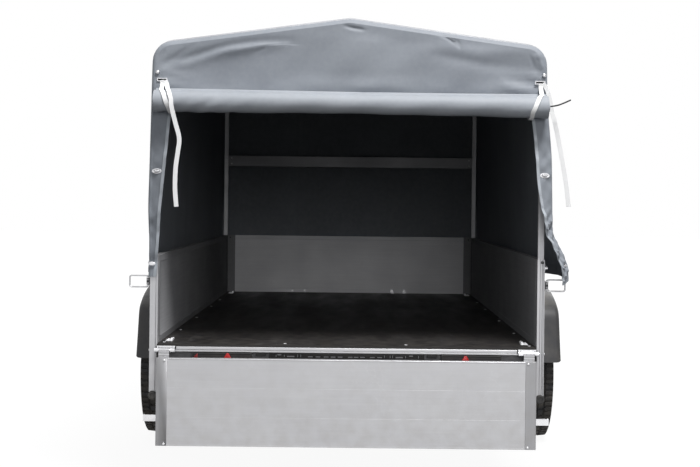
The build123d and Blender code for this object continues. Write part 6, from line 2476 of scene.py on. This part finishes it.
@dataclass
class Undercarriage(Part):
    """Drawbar, coupling, axle and jockey wheel: what stays, and what is bolted to it."""

    jockey: Flat = (0.15190, 3.225)
    tube_top: float = 0.718
    clamp_height: float = 0.424
    clamp_reach: float = 0.053
    clamp_half: float = 0.040
    ball: Flat = (3.595, 0.424)
    coupling_bolts: tuple[Flat, ...] = ((0.050, 3.470), (0.068, 3.400))
    coupling_top: float = 0.460
    saddle: Flat = (1.2850, 0.381)
    saddle_bolts: Flat = (0.478, 0.546)

    def build(self) -> None:
        """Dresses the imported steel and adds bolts, grips and caps."""
        self.keep("Hot-dip galvanised steel", "drawbar_left", "drawbar_right", "axle_tube",
                  "axle_brackets", "swing_arms", "coupling_head")
        self.keep("Zinc-plated steel", "jockey_clamp", "jockey_outer_tube", "jockey_crank",
                  "jockey_inner_tube", "jockey_fork")
        self.keep("Tyre rubber", "jockey_wheel")
        self.lever()
        self.bolts()
        self.jockey_grips()
        self.roller_discs()

    def lever(self) -> None:
        """The coupling's release lever, a grip that rises towards its end, and its collar."""
        y, (middle, z) = self.site.y, self.ball
        root, top = z + 0.036, z + 0.060
        section = [(y(middle - behind), height) for behind, height in (
            (0.004, root), (0.004, top - 0.010), (0.010, top - 0.0005), (0.060, top),
            (0.100, top - 0.0005), (0.150, top - 0.0002), (0.162, top - 0.003),
            (0.165, top - 0.0085), (0.155, top - 0.0098), (0.050, top - 0.0098),
            (0.040, top - 0.014), (0.040, root))]
        obj = extruded("coupling_lever", section, Axis.X, -0.014, 0.014)
        self.dress(rounded(obj, 0.0028, 3), "Black plastic", stands_for=("coupling_handle",))
        collar = drum("socket_collar", (0, y(middle), z - 0.0275), (0, y(middle), z - 0.0215),
                      0.0425, 48)
        pushed(collar, Way.DOWN, -0.004, 0.010)
        self.dress(rounded(collar, 0.0012, 2), "Black plastic")

    def bolts(self) -> None:
        """Bolts through the coupling and the axle's saddles."""
        y, (saddle, height) = self.site.y, self.saddle
        for name, normal, radius, places in (
                ("coupling_bolts", (0, 0, 1), 0.0090,
                 [(x, y(at), self.coupling_top) for x, at in self.coupling_bolts]),
                ("saddle_bolts", (0, -1, 0), 0.0085,
                 [(x, y(saddle), height) for x in self.saddle_bolts])):
            bolt = hexagon("frame-bolt", (0, 0, 0), normal, radius, radius - 0.0005)
            both = [(s * x, *rest) for s in (-1, 1) for x, *rest in places]
            self.dress(repeated(bolt, name, both), "Zinc-plated steel")

    def jockey_grips(self) -> None:
        """The crank's knob, the tube's cap and the clamp's handle."""
        x, y = self.jockey[0], self.site.y(self.jockey[1])
        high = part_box("jockey_crank")[1]
        knob_x = high.x - 0.011
        knob = drum("crank_knob", (knob_x, y, high.z - 0.040), (knob_x, y, high.z), 0.0112, 32)
        cap = drum("jockey_cap", (x, y, self.tube_top - 0.012), (x, y, self.tube_top + 0.003),
                   0.0255, 40)
        for piece, rise, border, bevel, segments in ((knob, 0.0012, 0.003, 0.0025, 3),
                                                     (cap, 0.002, 0.006, 0.0012, 2)):
            pushed(piece, Way.UP, rise, border)
            self.dress(rounded(piece, bevel, segments), "Black plastic")
        z, out, half = self.clamp_height, x + self.clamp_reach, self.clamp_half
        stem = drum("clamp-stem", (x + 0.033, y, z), (x + 0.058, y, z), 0.0055, 20)
        bar = drum("clamp-bar", (out, y - half, z), (out, y + half, z), 0.0050, 20)
        ends = [ball(f"clamp-end-{k}", (out, y + s * half, z), (0.0068,) * 3, 10)
                for k, s in enumerate((-1, 1))]
        self.dress(smooth(joined("clamp_handle", [stem, bar, *ends])), "Zinc-plated steel")

    def roller_discs(self) -> None:
        """The plastic centre on each side of the jockey wheel."""
        low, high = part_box("jockey_wheel")
        middle = (low + high) / 2
        for side in Side:
            section = [(middle.x + side.value * dx, radius) for dx, radius in (
                (0.0272, 0.0085), (0.0272, 0.0200), (0.0250, 0.0225), (0.0160, 0.0240),
                (0.0160, 0.0520), (0.0235, 0.0580), (0.0258, 0.0600), (0.0258, 0.0640),
                (0.0110, 0.0640), (0.0110, 0.0085))]
            disc = spun(f"roller_disc_{side.label}", section, (middle.y, middle.z), 48)
            self.dress(rounded(disc, 0.0008, 2), "Roller plastic", "jockey_roller")


@dataclass
class CoverFrame(Part):
    """The hoops and rails that carry the cover, with the cover's studs and eyelets."""

    leg: float = 0.6575
    rail: Flat = (1.175, 1.231)
    rail_y: Flat = (2.497, 2.517)
    rail_sheet: float = 0.0015
    rail_screws: tuple[Flat, ...] = ((0.630, 1.219), (0.630, 1.189), (0.6575, 1.213))
    stud_height: float = 0.780
    studs: tuple[float, ...] = (0.020, 0.100, 0.685, 1.270, 1.855, 2.440)
    front_studs: tuple[float, ...] = (-0.46, 0.0, 0.46)
    rear_stud: Flat = (-0.662, 0.782)
    eyelet_spots: tuple[Flat, ...] = ((-0.6480, 1.095), (0.6625, 1.094), (0.7330, 0.789))

    def build(self) -> None:
        """Dresses the hoops and builds the rail, the studs and the eyelets."""
        self.keep("Cover frame steel", "rear_hoop", "front_hoop", "roof_rails")
        self.cross_rail()
        self.turn_buttons()
        self.eyelets()

    def cross_rail(self) -> None:
        """The board across the front hoop: a pressed channel with lips, and its end screws."""
        (low, high), (face, back) = self.rail, (self.site.y(at) for at in self.rail_y)
        sheet, reach = self.rail_sheet, self.leg - 0.010
        section = [(face, high), (back, high), (back, high - sheet), (face + sheet, high - sheet),
                   (face + sheet, low + 0.010), (face + sheet, low + sheet), (back, low + sheet),
                   (back, low), (face - 0.0045, low), (face - 0.0045, low + sheet),
                   (face, low + sheet)]
        obj = rounded(extruded("front_hoop_rail", section, Axis.X, -reach, reach), 0.0004, 1)
        self.dress(obj, "Cover rail aluminium", stands_for=("front_cross_rail",))
        screw = dome("rail-screw", (0, face, 0), (0, -1, 0), 0.0040, 0.0024)
        places = [(s * x, 0, z) for s in (-1, 1) for x, z in self.rail_screws]
        self.dress(repeated(screw, "front_rail_screws", places), "Zinc-plated steel")

    def turn_button(self, lift: float, button: bool = True) -> Obj:
        """A stud with its oval turn-button, standing out along +X from the origin.

        Args:
            lift: Distance from its foot to the cloth's outer face.
            button: Whether its button is there, or only the stud.

        Returns:
            Its parts in one object.
        """
        base = drum("stud-base", (0, 0, 0), (0.0028, 0, 0), 0.0110, 24)
        pushed(base, Way.OUT, 0.0010, 0.003)
        parts = [base, drum("stud-post", (0.001, 0, 0), (lift + 0.0015, 0, 0), 0.0042, 16)]
        if button:
            for name, start, end, radius, sides, oval in (
                    ("eye", -0.0002, 0.0012, 0.0150, 32, (1, 1.25, 0.62, 1)),
                    ("turn", 0.0016, 0.0050, 0.0060, 24, (1, 2.5, 0.95, 1))):
                piece = drum(f"stud-{name}", (lift + start, 0, 0), (lift + end, 0, 0), radius,
                             sides)
                piece.data.transform(Matrix.Diagonal(oval))
                parts.append(piece)
        return joined("turn-button", [rounded(part, 0.0005, 2) for part in parts])

    def turn_buttons(self) -> None:
        """The turn-buttons along both boards and across the front."""
        row = [(self.site.outer, self.site.y(at), self.stud_height) for at in self.studs]
        side = self.turn_button(0.0165)
        loose = self.turn_button(0.0100, False)
        loose.data.transform(Matrix.Translation(row[0]))
        start = repeated(copied(side, "left-button"), "left-start", row[1:])
        left = flipped(start, "left-buttons")
        bpy.data.objects.remove(start)
        behind = self.turn_button(0.0125)
        foot = Matrix.Translation((self.rear_stud[0], self.site.rear, self.rear_stud[1]))
        turned = Matrix.Rotation(math.radians(-90), 4, "Z") @ Matrix.Diagonal((1, 0.62, 0.7, 1))
        behind.data.transform(foot @ turned)
        right = repeated(side, "right-buttons", row[1:])
        front = self.turn_button(0.0110)
        front.data.transform(Matrix.Rotation(math.radians(90), 4, "Z"))
        places = [(x, self.site.front, self.stud_height) for x in self.front_studs]
        fore = repeated(front, "front-buttons", places)
        obj = joined("cover_turn_buttons", [left, right, loose, behind, fore])
        self.dress(obj, "Bright zinc", stands_for=("cover_fasteners",))

    def eyelets(self) -> None:
        """Oval eyelets on the strips beside the opening, and the one on the loose corner."""
        proud, oval = 0.0008, (2.1, 1, 1, 1)
        ring = drum("eyelet", (0, -0.0012, 0), (0, proud, 0), 0.0088, 32)
        pushed(ring, Way.BACK, -0.0014, 0.0026)
        middle = drum("eyelet-middle", (0, -0.0008, 0), (0, 0.0004, 0), 0.0052, 24)
        for piece in (ring, middle):
            piece.data.transform(Matrix.Diagonal(oval))
            rounded(piece, 0.0004, 1)
        knobs = [dome(f"eyelet-knob-{k}", (x, -0.0008, 0), (0, -1, 0), 0.0046, 0.0042)
                 for k, x in enumerate((-0.0062, 0.0, 0.0062))]
        places = []
        for x, z in self.eyelet_spots:
            _, at, normal, _ = bpy.data.objects["cover_cloth"].ray_cast((x, -4.0, z), (0, 1, 0))
            turn = Matrix.Rotation(math.atan2(normal.x, -normal.y), 4, "Z")
            places.append(Matrix.Translation(at + proud * normal) @ turn)
        for name, finish, model in (
                ("strip_eyelets", "Ring zinc", ring), ("eyelet_middles", "Dark steel", middle),
                ("eyelet_knobs", "Zinc-plated steel", joined("eyelet-knobs", knobs))):
            pieces = [copied(model, f"{name}-{k}") for k in range(len(places))]
            for piece, place in zip(pieces, places):
                piece.data.transform(place)
            bpy.data.objects.remove(model)
            self.dress(joined(name, pieces), finish)


# --- Studio -----------------------------------------------------------------------------------
@dataclass
class Studio:
    """The floor, the lamps, the sky and the camera."""

    eye: Point = (0.015, -6.192, 1.008)
    lens: float = 66.96
    shift: Flat = (-0.0039, -0.0493)
    roll: float = 0.65
    floor_size: float = 60.0

    def camera(self) -> None:
        """Sets the camera behind the trailer, level, on its centre line."""
        data = bpy.data.cameras.new("rear_view")
        data.lens = self.lens
        data.sensor_width = 36.0
        data.shift_x, data.shift_y = self.shift
        data.clip_end = 200.0
        obj = bpy.data.objects.new("rear_view", data)
        bpy.context.scene.collection.objects.link(obj)
        level = Matrix.Translation(self.eye) @ Matrix.Rotation(math.radians(90), 4, "X")
        obj.matrix_world = level @ Matrix.Rotation(math.radians(self.roll), 4, "Z")
        bpy.context.scene.camera = obj

    def build(self) -> None:
        """Lays the floor, hangs the lamps and sets the sky."""
        self.floor()
        self.sky()
        lamps = [
            ("key", (1.35, -4.6, 6.8), (0.0, -1.4, 1.0), 2.0, 520.0),
            ("fill", (0.9, -8.4, 2.6), (0.0, -1.2, 0.8), 2.2, 88.0),
            ("top", (0.3, 0.2, 6.5), (0.0, 0.0, 0.5), 5.0, 70.0),
            ("front", (2.0, 6.5, 3.5), (0.0, 1.0, 0.6), 4.0, 110.0),
        ]
        for name, place, aim, size, power in lamps:
            self.lamp(name, place, aim, size, power)
        view = bpy.context.scene.view_settings
        view.view_transform = "Standard"

    def lamp(self, name: str, place: Point, aim: Point, size: float, power: float) -> None:
        """Hangs one soft square lamp.

        Args:
            name: The lamp's name.
            place: Where it hangs.
            aim: What it faces.
            size: Its side in metres.
            power: Its power in watts.
        """
        data = bpy.data.lights.new(f"lamp_{name}", "AREA")
        data.shape = "SQUARE"
        data.size = size
        data.energy = power
        obj = bpy.data.objects.new(f"lamp_{name}", data)
        bpy.context.scene.collection.objects.link(obj)
        obj.location = place
        obj.rotation_euler = (Vector(aim) - Vector(place)).to_track_quat("-Z", "Y").to_euler()

    def seen(self, wires: Wires) -> Socket:
        """Says 1 where the camera, a reflection or glass looks straight at a surface.

        Args:
            wires: The node tree.

        Returns:
            The share as a socket.
        """
        path = wires.add("LightPath")
        both = wires.math("MAXIMUM", path.outputs["Is Camera Ray"], path.outputs["Is Glossy Ray"])
        return wires.math("MAXIMUM", both, path.outputs["Is Transmission Ray"])

    def floor(self) -> None:
        """A plain pale floor that keeps the trailer's shadow, its glow painted a little dimmer near
        the trailer as painted shade.
        """
        clear_selection()
        bpy.ops.mesh.primitive_plane_add(size=self.floor_size, location=(0, 0, 0))
        obj = bpy.context.object
        obj.name = "studio_floor"
        material = bpy.data.materials.new("Pale floor")
        material.use_nodes = True
        wires = Wires(material.node_tree)
        place = wires.place()
        noise = wires.noise(place, 1.5, 2.0)
        tone = wires.blend(noise, (0.060, 0.060, 0.060), (0.066, 0.066, 0.066))
        # Painted shade round the trailer: the glow that the camera sees is 0.93 within 1.6 m of the
        # middle and rises to full white at 3 m.
        reach = wires.add("VectorMath", {0: place}, operation="LENGTH").outputs["Value"]
        glow_with_painted_shade = wires.blend(wires.spread(reach, 1.6, 3.0), (0.93, 0.93, 0.93), (1.0, 1.0, 1.0))
        glow = wires.blend(self.seen(wires), (0.0, 0.0, 0.0), glow_with_painted_shade)
        shader = wires.add("BsdfPrincipled", {"Base Color": tone, "Roughness": 0.9,
                                              "Specular IOR Level": 0.1, "Emission Color": glow,
                                              "Emission Strength": 1.0})
        wires.add("OutputMaterial", {"Surface": shader.outputs[0]})
        obj.data.materials.append(material)

    def sky(self) -> None:
        """White where it is looked at, and a softer grey as light."""
        world = bpy.data.worlds.new("studio_sky")
        world.use_nodes = True
        bpy.context.scene.world = world
        wires = Wires(world.node_tree)
        tone = wires.blend(self.seen(wires), (0.215, 0.222, 0.233), (1.0, 1.0, 1.0))
        shader = wires.add("Background", {"Color": tone, "Strength": 1.0})
        wires.add("OutputWorld", {"Surface": shader.outputs[0]})


def main() -> None:
    """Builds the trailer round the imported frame."""
    logging.basicConfig(level=logging.INFO, format="%(name)s: %(message)s")
    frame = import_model()
    clear_selection()
    site, paints, studio = Site.measured(), Paints(), Studio()
    studio.camera()
    flap = RolledFlap(site, paints)
    flap.cord()
    Cover(site, paints).build()
    flap.build()
    for part in (LoadBox, Tailgate, Latches, LightBar, Wheels, Undercarriage, CoverFrame):
        part(site, paints).build()
    studio.build()
    clear_selection()


if __name__ == "__main__":
    main()
